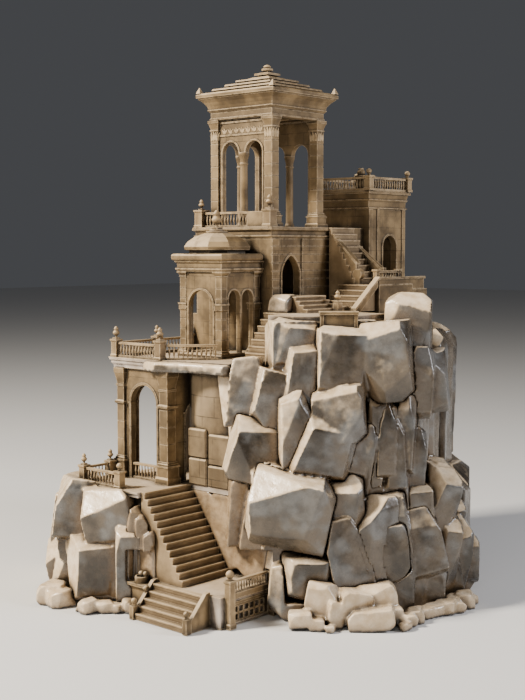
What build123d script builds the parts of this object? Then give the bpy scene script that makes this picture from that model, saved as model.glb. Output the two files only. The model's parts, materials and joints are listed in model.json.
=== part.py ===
from build123d import *

import math
import os
import random

# A cliff-top palace ruin for tabletop games: hollow rock castings carry stairs,
# terraces, an arcaded loggia, a domed pavilion, a belvedere tower and a small house.
# Every casting is its own solid. The tower roof and the pavilion roof lift off.
# Millimetres, +Z up. Buildings follow X and Y. The show face of the crag looks
# diagonally between -Y and +X, so rocks are placed by (right, back) along that face.

# ---- levels, from the table up ----
BOARD_TOP = 4.0
ENTRY_TOP = 22.0
CORE_LOWER_TOP = 80.0
LOWER_FLOOR = 84.0
CORE_MIDDLE_TOP = 168.0
UPPER_FLOOR = 176.0
CORE_UPPER_TOP = 206.0
PLATFORM = 210.0
DOOR_COURT = 222.0
LANDING = 230.0
PODIUM_TOP = 275.0
HOUSE_TOP = 299.0
TOWER_CAP = 360.0
EAVE_TOP = 383.0

# ---- plans ----
FACE_TURN = 42.0
PODIUM = (-94.0, -13.5, 25.0, 99.0)
TOWER = (-86.0, -18.5, 31.5, 96.0)
PAVILION = (-69.0, -22.5, -20.5, 24.5)
HOUSE = (-56.0, -5.0, 136.0, 187.0)
LOGGIA_LEFT_X, LOGGIA_RIGHT_X, LOGGIA_Y = -93.0, -45.0, -55.0
MAIN_FLIGHT_Y = (-90.0, -43.0)
CORE_WALL = 8.0
ROOF_GAP = 0.3

# ---- stock sections ----
BALUSTER_R = 0.85
BALUSTER_PITCH = 3.3
RAIL_WIDE = 2.6
RAIL_TALL = 1.7
FOOT_TALL = 1.5
BALUSTRADE_TALL = 11.5
POST_SIDE = 5.6
JOINT = 0.35

parts = {}


# ======================= general shapes =======================


def block(x0, x1, y0, y1, z0, z1):
    return Pos((x0 + x1) / 2, (y0 + y1) / 2, (z0 + z1) / 2) * Box(x1 - x0, y1 - y0, z1 - z0)


def fused(solids):
    solids = list(solids)
    return solids[0].fuse(*solids[1:]) if len(solids) > 1 else solids[0]


def prism(points, z0, z1):
    outline = make_face(Polyline(*points, close=True))
    return Pos(0, 0, z0) * extrude(outline, z1 - z0)


def frustum(box, z0, z1, out0, out1):
    """A block over the plan box that grows from out0 to out1 beyond it."""
    x0, x1, y0, y1 = box
    spot = Pos((x0 + x1) / 2, (y0 + y1) / 2, 0)
    ends = []
    for z, out in ((z0, out0), (z1, out1)):
        ends.append(Pos(0, 0, z) * spot * Rectangle(x1 - x0 + 2 * out, y1 - y0 + 2 * out))
    return loft(ends, ruled=True)


def courses(box, z, rows):
    """Mouldings stacked over a plan box: each row is (tall, out at foot, out at head)."""
    stack = []
    for tall, out0, out1 in rows:
        stack.append(frustum(box, z, z + tall, out0, out1))
        z += tall
    return fused(stack)


def turned(profile, tall):
    """A solid turned about Z, with its smooth outline through (radius, height) points."""
    line = Spline(*[(r, 0, z) for r, z in profile])
    first, last = profile[0], profile[-1]
    rest = Polyline((last[0], 0, last[1]), (0, 0, tall), (0, 0, 0), (first[0], 0, first[1]))
    return revolve(make_face([line, rest]), Axis.Z)


def bearing(x, y):
    """The crag's (right, back) of a plan point: the reverse of face."""
    a = math.radians(FACE_TURN)
    return (x * math.cos(a) + y * math.sin(a), -x * math.sin(a) + y * math.cos(a))


def face(right, back):
    """A point of the crag's own frame, in X and Y."""
    a = math.radians(FACE_TURN)
    return (right * math.cos(a) - back * math.sin(a), right * math.sin(a) + back * math.cos(a))


# ======================= stonework =======================


def urn(x, y, z, size=1.0):
    foot = Pos(0, 0, 0.5 * size) * Box(3.6 * size, 3.6 * size, size)
    body = turned(
        [(1.1, 0), (0.7, 0.9), (2.1, 2.6), (2.2, 3.6), (1.3, 5.0), (1.5, 5.6), (1.2, 6.6), (0.4, 7.5)], 7.5
    )
    body = Pos(0, 0, 0.9 * size) * scale(body, size)
    return Pos(x, y, z) * fused([foot, body])


def ball_finial(x, y, z, radius):
    neck = Pos(0, 0, 0.9) * Cylinder(radius * 0.6, 1.8)
    ball = Pos(0, 0, 1.2 + radius) * Sphere(radius)
    return Pos(x, y, z) * fused([neck, ball])


def post(x, y, z, tall=13.0, side=POST_SIDE):
    """A balustrade pedestal: plinth, sunk-panel die and moulded cap."""
    box = (x - side / 2, x + side / 2, y - side / 2, y + side / 2)
    return fused(
        [
            courses(box, z, [(1.6, 0.5, 0.5), (0.7, 0.5, 0)]),
            block(*box, z + 2, z + tall - 1.5),
            courses(box, z + tall - 2.1, [(0.7, 0, 0.6), (1.4, 0.7, 0.7)]),
        ]
    )


def balustrade(start, end, tall=BALUSTRADE_TALL, wide=RAIL_WIDE, pitch=BALUSTER_PITCH):
    """A run of turned balusters between a foot rail and a handrail, level or raked."""
    run = math.hypot(end[0] - start[0], end[1] - start[1])
    rise = end[2] - start[2]
    turn = math.degrees(math.atan2(end[1] - start[1], end[0] - start[0]))
    slope = rise / run

    def rail(low, high, width):
        outline = Polyline((0, low), (run, rise + low), (run, rise + high), (0, high), close=True)
        return extrude(Plane.XZ * make_face(outline), width / 2, both=True)

    gap = tall - RAIL_TALL - FOOT_TALL
    bite = 0.3 + abs(slope) * BALUSTER_R
    count = max(2, round(run / pitch))
    shape = [(0.5, 0), (0.45, 0.2), (0.85, 0.42), (0.55, 0.68), (0.4, 0.86), (0.55, 1)]
    long = gap + 2 * bite
    baluster = turned([(r * BALUSTER_R / 0.85, t * long) for r, t in shape], long)
    pieces = [rail(0, FOOT_TALL, wide), rail(tall - RAIL_TALL, tall, wide)]
    for i in range(count):
        x = (i + 0.5) * run / count
        pieces.append(Pos(x, 0, slope * x + FOOT_TALL - bite) * baluster)
    return Location(start, (0, 0, turn)) * fused(pieces)


def pier(x, y, z0, z1, side, plinth=0.0, cap=6.0, joints=5):
    """A square pier: pedestal, drummed shaft with sunk joints, and a flared capital."""
    box = (x - side / 2, x + side / 2, y - side / 2, y + side / 2)
    pieces = [block(*box, z0, z1)]
    foot = z0
    if plinth:
        foot = z0 + plinth
        rows = [(plinth * 0.3, 2.6, 2.6), (plinth * 0.1, 2.6, 1.6), (plinth * 0.5, 1.6, 1.6),
            (plinth * 0.1, 2.2, 2.2)]
        pieces.append(courses(box, z0, rows))
    pieces.append(courses(box, foot, [(1.2, 1.3, 1.3), (1.0, 1.3, 0.2), (0.6, 0.8, 0.8)]))
    head = z1 - cap
    rows = [(cap * 0.12, 0.6, 0.6), (cap * 0.1, 0.1, 0.1), (cap * 0.5, 0.1, 1.5), (cap * 0.28, 1.8, 1.8)]
    pieces.append(courses(box, head, rows))
    shaft = fused(pieces)
    step = (head - foot - 4) / (joints + 1)
    grooves = []
    for i in range(joints):
        z = foot + 3 + (i + 1) * step
        ring = block(box[0] - 1, box[1] + 1, box[2] - 1, box[3] + 1, z, z + JOINT)
        inner = block(box[0] + JOINT, box[1] - JOINT, box[2] + JOINT, box[3] - JOINT, z - 1, z + 1)
        grooves.append(ring - inner)
    return shaft - grooves if grooves else shaft


def arch_outline(width, crown, pointed=False):
    """An arched opening in the XZ plane, standing on the origin, as wide and tall as given."""
    half = width / 2
    if pointed:
        radius = width * 0.85
        rise = math.sqrt(radius**2 - (radius - half) ** 2)
        spring = crown - rise
        left = ThreePointArc(
            (-half, spring),
            (radius - half - radius * math.cos(math.asin(rise / radius) / 2),
                spring + radius * math.sin(math.asin(rise / radius) / 2)),
            (0, crown),
        )
        right = mirror(left, Plane.YZ)
        return make_face([left, right, Polyline((-half, spring), (-half, 0), (half, 0), (half, spring))])
    spring = crown - half
    head = ThreePointArc((-half, spring), (0, crown), (half, spring))
    return make_face([head, Polyline((-half, spring), (-half, 0), (half, 0), (half, spring))])


def arcade(length, tall, thick, openings, pointed=False, trim=1.4, impost=True):
    """A wall along local X, from y = 0 to thick, pierced by arches (centre, width, crown)."""
    wall = Pos(length / 2, thick / 2, tall / 2) * Box(length, thick, tall)
    trims = []
    cuts = []
    for centre, width, crown in openings:
        cuts.append(Pos(centre, 0, -1) * extrude(Plane.XZ * arch_outline(width, crown + 1, pointed),
            3 * thick, both=True))
        ring = extrude(Plane.XZ * arch_outline(width + 2 * trim, crown + trim, pointed), 0.7, both=True)
        trims.append(Pos(centre, 0, 0) * ring)
        if impost:
            spring = crown - width / 2
            trims.append(Pos(centre, 0, spring) * Box(width + 2 * trim + 1.6, 1.8, 1.3))
    whole = fused([wall, *trims]) - cuts
    return whole & (Pos(length / 2, 0, tall / 2) * Box(length, 4 * thick, tall))


def flight(steps, rise, run, width, foot, nosing=0.5, lip=1.3):
    """Stairs that climb along local +X from the origin and spread along local +Y.
    The solid reaches foot below the first step all along."""
    outline = [(0, 0)]
    for i in range(steps):
        x, z = i * run, (i + 1) * rise
        outline += [(x, z - lip), (x - nosing, z - lip), (x - nosing, z), (x + run, z)]
    outline += [(steps * run, -foot), (0, -foot)]
    if foot == 0:
        outline.pop()
    return Pos(0, width, 0) * extrude(Plane.XZ * make_face(Polyline(*outline, close=True)), width)


def hollow_core(points, z0, z1, wall=CORE_WALL):
    """A casting with a closed top and a cavity that is open below."""
    outline = make_face(Polyline(*points, close=True))
    cavity = offset(outline, -wall, kind=Kind.INTERSECTION)
    return Pos(0, 0, z0) * (extrude(outline, z1 - z0) - extrude(cavity, z1 - z0 - 6))


# ======================= rock =======================


def boulder(right, back, z0, z1, wide, deep, seed, turn=0.0, lean=0.0, roll=0.0, blunt=0.80):
    """A quarried boulder: a block with its edges and corners struck off by flat breaks.
    lean tips its head towards the viewer and roll tips it to the right."""
    rng = random.Random(seed)
    size = (wide, deep, z1 - z0)
    breaks = []
    for quarter in range(4):
        breaks.append((45 + 90 * quarter + rng.uniform(-22, 22), rng.uniform(-14, 14)))
        breaks.append((90 * quarter + rng.uniform(-35, 35), rng.uniform(30, 58)))
    for _ in range(3):
        breaks.append((rng.uniform(0, 360), rng.uniform(-60, -30)))
    rock = Box(*size)
    for azimuth, height in breaks:
        a, h = math.radians(azimuth), math.radians(height)
        way = Vector(math.cos(h) * math.cos(a), math.cos(h) * math.sin(a), math.sin(h))
        reach = (abs(way.X) * size[0] + abs(way.Y) * size[1] + abs(way.Z) * size[2]) / 2
        at = way * reach * rng.uniform(blunt - 0.07, blunt + 0.07)
        rock = split(rock, bisect_by=Plane(origin=at, z_dir=way), keep=Keep.BOTTOM)
    x, y = face(right, back)
    spot = Location((x, y, (z0 + z1) / 2), (0, 0, FACE_TURN + turn))
    return spot * Rotation(lean, roll, 0) * rock


def cobble(right, back, size, seed, z=0.0, flat=0.7):
    """A small loose stone standing on height z."""
    return boulder(right, back, z - 0.1 * size, z + size * flat, size * 1.2, size, seed,
        turn=seed * 37 % 90, blunt=0.76)


# ======================= base board and rock cores =======================

LOWER_PLAN = [
    (-98, -88), (-37, -88), (-37, -30), (50, -30), (84, -6),
    (92, 50), (78, 112), (48, 164), (0, 186), (-68, 182), (-100, 105), (-104, 0),
]
MIDDLE_PLAN = [
    (-98, -5), (-42, -5), (-42, -26), (10, -28), (44, -30), (66, -8), (76, 26),
    (76, 76), (64, 112), (44, 158), (0, 184), (-60, 182), (-98, 108),
]
UPPER_PLAN = [
    (-98, 28), (-12, 28), (-12, 17), (16, 17), (16, -12), (42, -14), (58, 2), (68, 30),
    (70, 76), (60, 110), (42, 156), (0, 184), (-58, 182), (-98, 108),
]

board = prism(LOWER_PLAN, 0, BOARD_TOP)
core_lower = hollow_core(LOWER_PLAN, BOARD_TOP, CORE_LOWER_TOP)
core_middle = hollow_core(MIDDLE_PLAN, CORE_LOWER_TOP, CORE_MIDDLE_TOP)
core_upper = hollow_core(UPPER_PLAN, CORE_MIDDLE_TOP, CORE_UPPER_TOP)
parts["base_board"] = board
parts["core_lower"] = core_lower
parts["core_middle"] = core_middle
parts["core_upper"] = core_upper

# ======================= entry stairs and landing =======================

ENTRY_X = (-21.0, 34.0)
ENTRY_FRONT_Y, ENTRY_LANDING_Y = -113.0, -91.0
LANDING_BACK_Y, LANDING_RIGHT_X = -30.1, 43.5
ENTRY_STEPS = 5

entry_flight = Location((ENTRY_X[1] - 3, ENTRY_FRONT_Y, 0), (0, 0, 90)) * flight(
    ENTRY_STEPS, ENTRY_TOP / ENTRY_STEPS, 4.4, ENTRY_X[1] - ENTRY_X[0] - 6, 0, lip=1.5
)
parts["entry_stairs"] = entry_flight

CHEEK_THICK = 3.0
cheek_outline = Polyline(
    (ENTRY_FRONT_Y - 1, 0), (ENTRY_FRONT_Y - 1, 8), (ENTRY_FRONT_Y + 4, 9),
    (ENTRY_LANDING_Y - 4, ENTRY_TOP + 2),
    (ENTRY_LANDING_Y - 0.1, ENTRY_TOP + 2.6), (ENTRY_LANDING_Y - 0.1, 0), close=True,
)
cheek = extrude(Plane.YZ * make_face(cheek_outline), CHEEK_THICK)
right_cheek = fused([
    Pos(ENTRY_X[1] - CHEEK_THICK, 0, 0) * cheek,
    block(ENTRY_X[1] - 4, ENTRY_X[1] + 1, ENTRY_FRONT_Y - 2, ENTRY_FRONT_Y + 3, 0, 10.5),
    ball_finial(ENTRY_X[1] - 1.5, ENTRY_FRONT_Y + 0.5, 10.5, 2.0),
])
left_cheek = fused([
    Pos(ENTRY_X[0], 0, 0) * cheek,
    block(ENTRY_X[0] - 1, ENTRY_X[0] + 4, ENTRY_FRONT_Y - 2, ENTRY_FRONT_Y + 3, 0, 9.5),
    ball_finial(ENTRY_X[0] + 1.5, ENTRY_FRONT_Y + 0.5, 9.5, 2.1),
    ball_finial(ENTRY_X[0] + 1.5, ENTRY_FRONT_Y + 12, 15.6, 2.3),
])
steps_room = block(ENTRY_X[0] + 3, ENTRY_X[1] - 3, ENTRY_FRONT_Y - 5, ENTRY_LANDING_Y, -1, 60)
parts["entry_cheek_right"] = right_cheek - steps_room
parts["entry_cheek_left"] = left_cheek - steps_room

# The landing block carries the lattice vent and the fountain court behind it.
landing = block(-36.9, LANDING_RIGHT_X, ENTRY_LANDING_Y, LANDING_BACK_Y, 0, ENTRY_TOP)
VENT_FRONT_Y, VENT_BACK_Y = -81.0, -42.6
VENT_ROWS, VENT_COLUMNS, VENT_HOLE, VENT_PITCH = 2, 6, 3.9, 5.4
vent_panel = block(LANDING_RIGHT_X - 2.2, LANDING_RIGHT_X + 1, VENT_FRONT_Y, VENT_BACK_Y, 2, 17)
landing -= [vent_panel, board, core_lower]
parts["entry_landing"] = landing
lattice = block(LANDING_RIGHT_X - 2.2, LANDING_RIGHT_X - 0.4, VENT_FRONT_Y, VENT_BACK_Y, 2, 17)
holes = []
for row in range(VENT_ROWS):
    for column in range(VENT_COLUMNS):
        y = VENT_FRONT_Y + 5.7 + column * VENT_PITCH
        z = 5.4 + row * VENT_PITCH
        holes.append(Pos(LANDING_RIGHT_X - 1, y, z) * Box(6, VENT_HOLE, VENT_HOLE))
ledge_bar = block(LANDING_RIGHT_X - 1, LANDING_RIGHT_X + 0.6, VENT_FRONT_Y, VENT_BACK_Y, 14.6, 17)
lattice = fused([lattice - holes, ledge_bar])
parts["entry_lattice"] = lattice

newels = []
NEWEL_X = LANDING_RIGHT_X + 2.4
for y, tall, radius in ((-84.0, 33.5, 2.9), (-39.6, 31.5, 2.2)):
    x = NEWEL_X
    side = 5.2
    box = (x - side / 2, x + side / 2, y - side / 2, y + side / 2)
    shaft = fused([
        courses(box, 0, [(3, 0.6, 0.6), (1, 0.6, 0)]),
        block(*box, 3, tall - 1.5),
        courses(box, tall - 2.5, [(1, 0, 0.6), (1.5, 0.7, 0.7)]),
        ball_finial(x, y, tall, radius),
    ])
    newels.append(shaft)
newels = [newel - [landing, lattice, board, core_lower] for newel in newels]
entry_rail = balustrade(
    (LANDING_RIGHT_X - 1.3, VENT_FRONT_Y + 0.2, ENTRY_TOP),
    (LANDING_RIGHT_X - 1.3, VENT_BACK_Y - 0.2, ENTRY_TOP),
    tall=9.5, pitch=2.7,
)
string_course = block(LANDING_RIGHT_X, LANDING_RIGHT_X + 1.6, VENT_FRONT_Y, VENT_BACK_Y, 19,
    ENTRY_TOP + 1.2)
parts["entry_balustrade"] = [entry_rail - newels, string_course - newels, *newels]

# A broken shell fountain stands on the landing beside the main stairs.
basin = Pos(0, 0, 3) * Cylinder(6.0, 6) - Pos(0, 0, 6.2) * Cylinder(4.6, 3)
fountain = fused([
    basin,
    Pos(0, 0, 3) * Cylinder(1.6, 6),
    Pos(0, 0, 8) * Sphere(2.6),
    Pos(3.6, 1.5, 8) * Sphere(2.4),
    Pos(-3.2, 2.2, 7.4) * Sphere(2.2),
])
SHELF_TOP = ENTRY_TOP - 1
fountain_shelf = block(-36.8, -21.2, -100, -91.1, 0, SHELF_TOP - 4)
fountain_shelf += frustum((-36.8, -21.2, -100, -91.1), SHELF_TOP - 5, SHELF_TOP - 2, 0, 1.4)
fountain_shelf += block(-38.4, -21.2, -102.4, -91.1, SHELF_TOP - 2, SHELF_TOP)
fountain_shelf = fountain_shelf & block(-60, -21.1, -120, -91.1, -1, 60)
fountain_shelf -= left_cheek
statue = Pos(-28.6, -97, SHELF_TOP) * scale(fountain, 0.8)
parts["fountain"] = [fountain_shelf, statue]

# ======================= main stairs =======================

MAIN_STEPS = 13
MAIN_RUN = 3.2
main_rise = (LOWER_FLOOR - ENTRY_TOP) / MAIN_STEPS
main_foot_x = -36 + MAIN_STEPS * MAIN_RUN
main_flight = Location((main_foot_x, MAIN_FLIGHT_Y[1], ENTRY_TOP), (0, 0, 180)) * flight(
    MAIN_STEPS, main_rise, MAIN_RUN, MAIN_FLIGHT_Y[1] - MAIN_FLIGHT_Y[0], 0, lip=1.5
)
parts["main_stairs"] = main_flight

# ======================= lower terrace and loggia =======================

lower_floor = block(-100, -36, -93, -5, CORE_LOWER_TOP, LOWER_FLOOR - 1.5)
lower_floor += block(-101, -36, -94, -5, LOWER_FLOOR - 1.5, LOWER_FLOOR)
lower_floor += block(-36, 14, -43, -28, CORE_LOWER_TOP, LOWER_FLOOR)
parts["lower_terrace_floor"] = lower_floor - core_middle

TERRACE_EDGE_Y = -91.0
terrace_posts = [
    post(-98, TERRACE_EDGE_Y, LOWER_FLOOR),
    post(-58, TERRACE_EDGE_Y, LOWER_FLOOR),
    post(-98.2, -65, LOWER_FLOOR),
]
parts["lower_terrace_posts"] = terrace_posts
parts["lower_terrace_balustrade"] = balustrade(
    (-98 + POST_SIDE / 2 + 0.8, TERRACE_EDGE_Y, LOWER_FLOOR),
    (-58 - POST_SIDE / 2 - 0.8, TERRACE_EDGE_Y, LOWER_FLOOR)
)
parts["lower_terrace_side_balustrade"] = balustrade(
    (-98, TERRACE_EDGE_Y + POST_SIDE / 2 + 0.8, LOWER_FLOOR), (-98, -65 - POST_SIDE / 2 - 0.8, LOWER_FLOOR)
)
parts["lower_terrace_urns"] = [
    urn(-98, TERRACE_EDGE_Y, LOWER_FLOOR + 13.0),
    urn(-98.2, -65, LOWER_FLOOR + 13.0),
    ball_finial(-58, TERRACE_EDGE_Y, LOWER_FLOOR + 13.0, 2.3),
]

LOGGIA_TOP = CORE_MIDDLE_TOP
left_column = pier(LOGGIA_LEFT_X, LOGGIA_Y, LOWER_FLOOR, LOGGIA_TOP, 7.6, plinth=14, cap=14, joints=3)
right_column = pier(LOGGIA_RIGHT_X, LOGGIA_Y, LOWER_FLOOR, LOGGIA_TOP, 8.6, plinth=14, cap=15, joints=3)
band_z = LOWER_FLOOR + 56
for_left = (LOGGIA_LEFT_X - 3.8, LOGGIA_LEFT_X + 3.8, LOGGIA_Y - 3.8, LOGGIA_Y + 3.8)
for_right = (LOGGIA_RIGHT_X - 4.3, LOGGIA_RIGHT_X + 4.3, LOGGIA_Y - 4.3, LOGGIA_Y + 4.3)
BAND_ROWS = [(1.0, 0, 1.2), (1.4, 1.4, 1.4), (1.0, 1.2, 0)]
parts["loggia_column_left"] = left_column + courses(for_left, band_z, BAND_ROWS)
parts["loggia_column_right"] = right_column + courses(for_right, band_z, BAND_ROWS)
arch_length = LOGGIA_RIGHT_X - LOGGIA_LEFT_X
loggia_front = Location((LOGGIA_LEFT_X, LOGGIA_Y - 1.5, LOWER_FLOOR), (0, 0, 0)) * arcade(
    arch_length, LOGGIA_TOP - LOWER_FLOOR, 4, [(arch_length / 2, 28, 72)], trim=2.0
)
parts["loggia_arcade_front"] = loggia_front - [parts["loggia_column_left"], parts["loggia_column_right"]]
parts["loggia_balustrade"] = balustrade((-82.4, LOGGIA_Y + 0.5, LOWER_FLOOR),
    (-55.6, LOGGIA_Y + 0.5, LOWER_FLOOR), tall=12)
side_wall = Location((LOGGIA_RIGHT_X + 2, LOGGIA_Y, LOWER_FLOOR), (0, 0, 90)) * arcade(
    50, LOGGIA_TOP - LOWER_FLOOR, 4, [(23, 13, 58)], pointed=True
)
parts["loggia_arcade_side"] = side_wall - [parts["loggia_column_right"], core_middle]
west_wall = Location((LOGGIA_LEFT_X + 2, LOGGIA_Y, LOWER_FLOOR), (0, 0, 90)) * arcade(
    50, LOGGIA_TOP - LOWER_FLOOR, 4, [(26, 26, 70)]
)
parts["loggia_arcade_west"] = west_wall - [parts["loggia_column_left"], parts["loggia_arcade_front"],
    core_middle]

# The bowed retaining wall closes the terrace beside the stairs.
wall_bow = ThreePointArc((-42.9, -34), (-14, -42), (10, -33))
wall_plan = make_face([wall_bow, Polyline((10, -33), (10, -28.2), (-42.9, -26), (-42.9, -34))])
retaining = Pos(0, 0, LOWER_FLOOR) * extrude(wall_plan, LOGGIA_TOP - LOWER_FLOOR)
parts["retaining_wall"] = retaining - [core_middle, side_wall]

# ======================= upper terrace =======================

UPPER_PLAN_SLAB = [(-103, -62), (-49, -62), (-30, -50), (8, -44), (12, -8), (12, 17), (-12, 17),
    (-12, 24.9), (-103, 24.9)]
slab = prism(UPPER_PLAN_SLAB, CORE_MIDDLE_TOP, UPPER_FLOOR)
edge = courses((-99, -50, -58, 60), CORE_MIDDLE_TOP,
    [(2.0, 1.0, 1.0), (1.6, 1.0, 2.4), (2.2, 2.4, 2.4), (2.2, 3.4, 3.9)])
slab = (slab & block(-99, 60, -58, 24.9, 160, 180)) + (edge & block(-110, -49, -70, 24.9, 160, 180))
parts["upper_terrace_slab"] = slab - core_upper

TERRACE_LEFT, TERRACE_FRONT = -98.5, -57.5
PED_RIGHT = (-51.5, -56.0)
PAVILION_CORNER = (-19.5, -24.5)
parts["upper_terrace_posts"] = [
    post(TERRACE_LEFT, TERRACE_FRONT, UPPER_FLOOR, tall=13.5),
    post(PED_RIGHT[0], PED_RIGHT[1], UPPER_FLOOR, tall=14.5, side=6.0),
    post(TERRACE_LEFT, -15, UPPER_FLOOR, tall=13.5),
    post(TERRACE_LEFT, 20.5, UPPER_FLOOR, tall=13.5),
]
parts["upper_terrace_balustrade_front"] = balustrade(
    (TERRACE_LEFT + 3.9, TERRACE_FRONT, UPPER_FLOOR), (PED_RIGHT[0] - 4.4, TERRACE_FRONT + 0.6, UPPER_FLOOR)
)
diagonal = Vector(PAVILION_CORNER[0] - PED_RIGHT[0], PAVILION_CORNER[1] - PED_RIGHT[1]).normalized()
run_start = Vector(*PED_RIGHT) + diagonal * 5.2
run_end = Vector(*PAVILION_CORNER) - diagonal * 2.4
parts["upper_terrace_balustrade_diagonal"] = balustrade(
    (run_start.X, run_start.Y, UPPER_FLOOR), (run_end.X, run_end.Y, UPPER_FLOOR)
)
parts["upper_terrace_balustrade_west"] = [
    balustrade((TERRACE_LEFT, TERRACE_FRONT + 3.9, UPPER_FLOOR), (TERRACE_LEFT, -18.9, UPPER_FLOOR)),
    balustrade((TERRACE_LEFT, -11.1, UPPER_FLOOR), (TERRACE_LEFT, 16.6, UPPER_FLOOR)),
]
parts["upper_terrace_urns"] = [
    urn(TERRACE_LEFT, TERRACE_FRONT, UPPER_FLOOR + 13.5, 1.15),
    urn(PED_RIGHT[0], PED_RIGHT[1], UPPER_FLOOR + 14.5, 1.15),
    urn(TERRACE_LEFT, -15, UPPER_FLOOR + 13.5),
    urn(TERRACE_LEFT, 20.5, UPPER_FLOOR + 13.5),
]

# ======================= pavilion =======================

px0, px1, py0, py1 = PAVILION
PAVILION_FLOOR = UPPER_FLOOR + 3
PAVILION_WALL_TOP = 241.0
PAVILION_BEAM_TOP = 249.0
PIER = 7.4
parts["pavilion_plinth"] = courses((px0, px1, py0, py1), UPPER_FLOOR,
    [(1.8, 0.4, 0.4), (1.2, 0.4, -0.2)]) & block(
    px0 - 5, px1 + 5, py0 - 5, py1 + 0.4, 170, 190
)
corner_piers = []
for x in (px0 + PIER / 2 + 0.6, px1 - PIER / 2 - 0.6):
    for y in (py0 + PIER / 2 + 0.6, py1 - PIER / 2 - 0.6):
        shaft = pier(x, y, PAVILION_FLOOR, PAVILION_WALL_TOP, PIER - 1.2, plinth=0, cap=4, joints=6)
        side = (PIER - 1.2) / 2
        band = courses((x - side, x + side, y - side, y + side), 211,
            [(1.2, 0, 1.0), (3.6, 0.7, 0.7), (1.2, 1.2, 1.2)])
        corner_piers.append((shaft + band) & block(px0 - 3, px1 + 3, py0 - 3, py1 + 0.4, 170, 260))
parts["pavilion_piers"] = corner_piers

front_length = px1 - px0 - 2 * PIER
side_length = py1 - py0 - 2 * PIER
wall_tall = PAVILION_WALL_TOP - PAVILION_FLOOR
front_wall = Location((px0 + PIER, py0 + 1.8, PAVILION_FLOOR)) * arcade(
    front_length, wall_tall, 3.4, [(front_length / 2, 26, 48)], trim=1.6
)
east_wall = Location((px1 - 1.8, py0 + PIER, PAVILION_FLOOR), (0, 0, 90)) * arcade(
    side_length, wall_tall, 3.4, [(side_length * 0.26, 12.4, 48), (side_length * 0.74, 12.4, 48)], trim=1.2
)
west_side = Location((px0 + 1.8, py1 - PIER, PAVILION_FLOOR), (0, 0, -90)) * arcade(
    side_length, wall_tall, 3.4, [(side_length / 2, 22, 48)], trim=1.4
)
parts["pavilion_wall_front"] = front_wall - corner_piers
parts["pavilion_wall_east"] = east_wall - corner_piers
parts["pavilion_wall_west"] = west_side - corner_piers
beam = courses(
    (px0, px1, py0, py1), PAVILION_WALL_TOP,
    [(1.2, 0.4, 0.9), (1.2, 1.4, 1.4), (3.6, 0.4, 0.4), (1.0, 0.6, 1.6), (1.0, 1.8, 1.8)],
)
beam -= block(px0 + 6, px1 - 6, py0 + 6, py1 - 6, 240, 250)
parts["pavilion_entablature"] = beam & block(px0 - 5, px1 + 5, py0 - 5, py1 + 0.4, 235, 255)

# Its roof lifts off: a soft-edged slab with a rim below, a cloister dome and an urn.
roof_box = (px0 - 3.6, px1 + 3.6, py0 - 3.6, py1 - 2.7)
slab_sides = (roof_box[1] - roof_box[0], roof_box[3] - roof_box[2])
roof_slab = block(*roof_box, PAVILION_BEAM_TOP, PAVILION_BEAM_TOP + 5.4)
roof_slab = fillet(roof_slab.edges().filter_by(Plane.XY), 1.9)
rim = block(px0 + 6 + ROOF_GAP, px1 - 6 - ROOF_GAP, py0 + 6 + ROOF_GAP, py1 - 6 - ROOF_GAP, 246,
    PAVILION_BEAM_TOP + 1)
rim -= block(px0 + 9, px1 - 9, py0 + 9, py1 - 9, 240, PAVILION_BEAM_TOP)
parts["pavilion_roof_slab"] = roof_slab + rim

dome_x, dome_y = (roof_box[0] + roof_box[1]) / 2, (roof_box[2] + roof_box[3]) / 2
DOME_FOOT = PAVILION_BEAM_TOP + 5.4


def dome_ring(z, side):
    corner = side * 0.24
    return Pos(dome_x, dome_y, z) * chamfer(Rectangle(side, side - 2).vertices(), corner)


dome_rings = [(0, 41), (2.2, 41), (2.8, 47), (5.2, 48), (9.0, 43), (12.8, 33), (15.4, 19)]
dome_parts = []
for (low, side0), (high, side1) in zip(dome_rings, dome_rings[1:]):
    dome_parts.append(loft([dome_ring(DOME_FOOT + low, side0), dome_ring(DOME_FOOT + high, side1)],
        ruled=True))
parts["pavilion_dome"] = fused(dome_parts)
FINIAL_FOOT = DOME_FOOT + 15.4
parts["pavilion_finial"] = fused([
    Pos(dome_x, dome_y, FINIAL_FOOT + 0.8) * Cylinder(8.4, 1.6),
    Pos(dome_x, dome_y, FINIAL_FOOT + 2.3) * Cylinder(5.8, 1.4),
    urn(dome_x, dome_y, FINIAL_FOOT + 3.0, 1.75),
])

# ======================= podium of the tower =======================

qx0, qx1, qy0, qy1 = PODIUM
PODIUM_WALL = 6.0
podium_body = block(qx0, qx1, qy0, qy1, CORE_UPPER_TOP, PODIUM_TOP - 9)
podium_room = block(qx0 + PODIUM_WALL, qx1 - PODIUM_WALL, qy0 + PODIUM_WALL, qy1 - PODIUM_WALL,
    DOOR_COURT, PODIUM_TOP)
door_shape = arch_outline(21, 31, pointed=True)
DOOR_Y = qy0 + 22.5
door_cut = Location((qx1, DOOR_Y, DOOR_COURT), (0, 0, 90)) * extrude(Plane.XZ * door_shape,
    PODIUM_WALL + 3, both=True)
ring = Location((qx1, DOOR_Y, DOOR_COURT),
    (0, 0, 90)) * extrude(Plane.XZ * arch_outline(24.5, 33, pointed=True), 0.8, both=True)
side_pilasters = []
for y0, y1 in ((qy0 - 0.0, qy0 + 8.0), (qy0 + 35, qy0 + 37.5)):
    side_pilasters.append(block(qx1 - 1, qx1 + 1.2, y0, y1, DOOR_COURT, PODIUM_TOP - 9))
joint_cuts = []
for i in range(6):
    z = DOOR_COURT + 6 + i * 6.4
    joint_cuts.append(block(qx1 - 0.35, qx1 + 3, qy0 - 2, qy1, z, z + JOINT))
skirt = block(-98, -12.1, qy0, 27.9, UPPER_FLOOR, CORE_UPPER_TOP)
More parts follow.
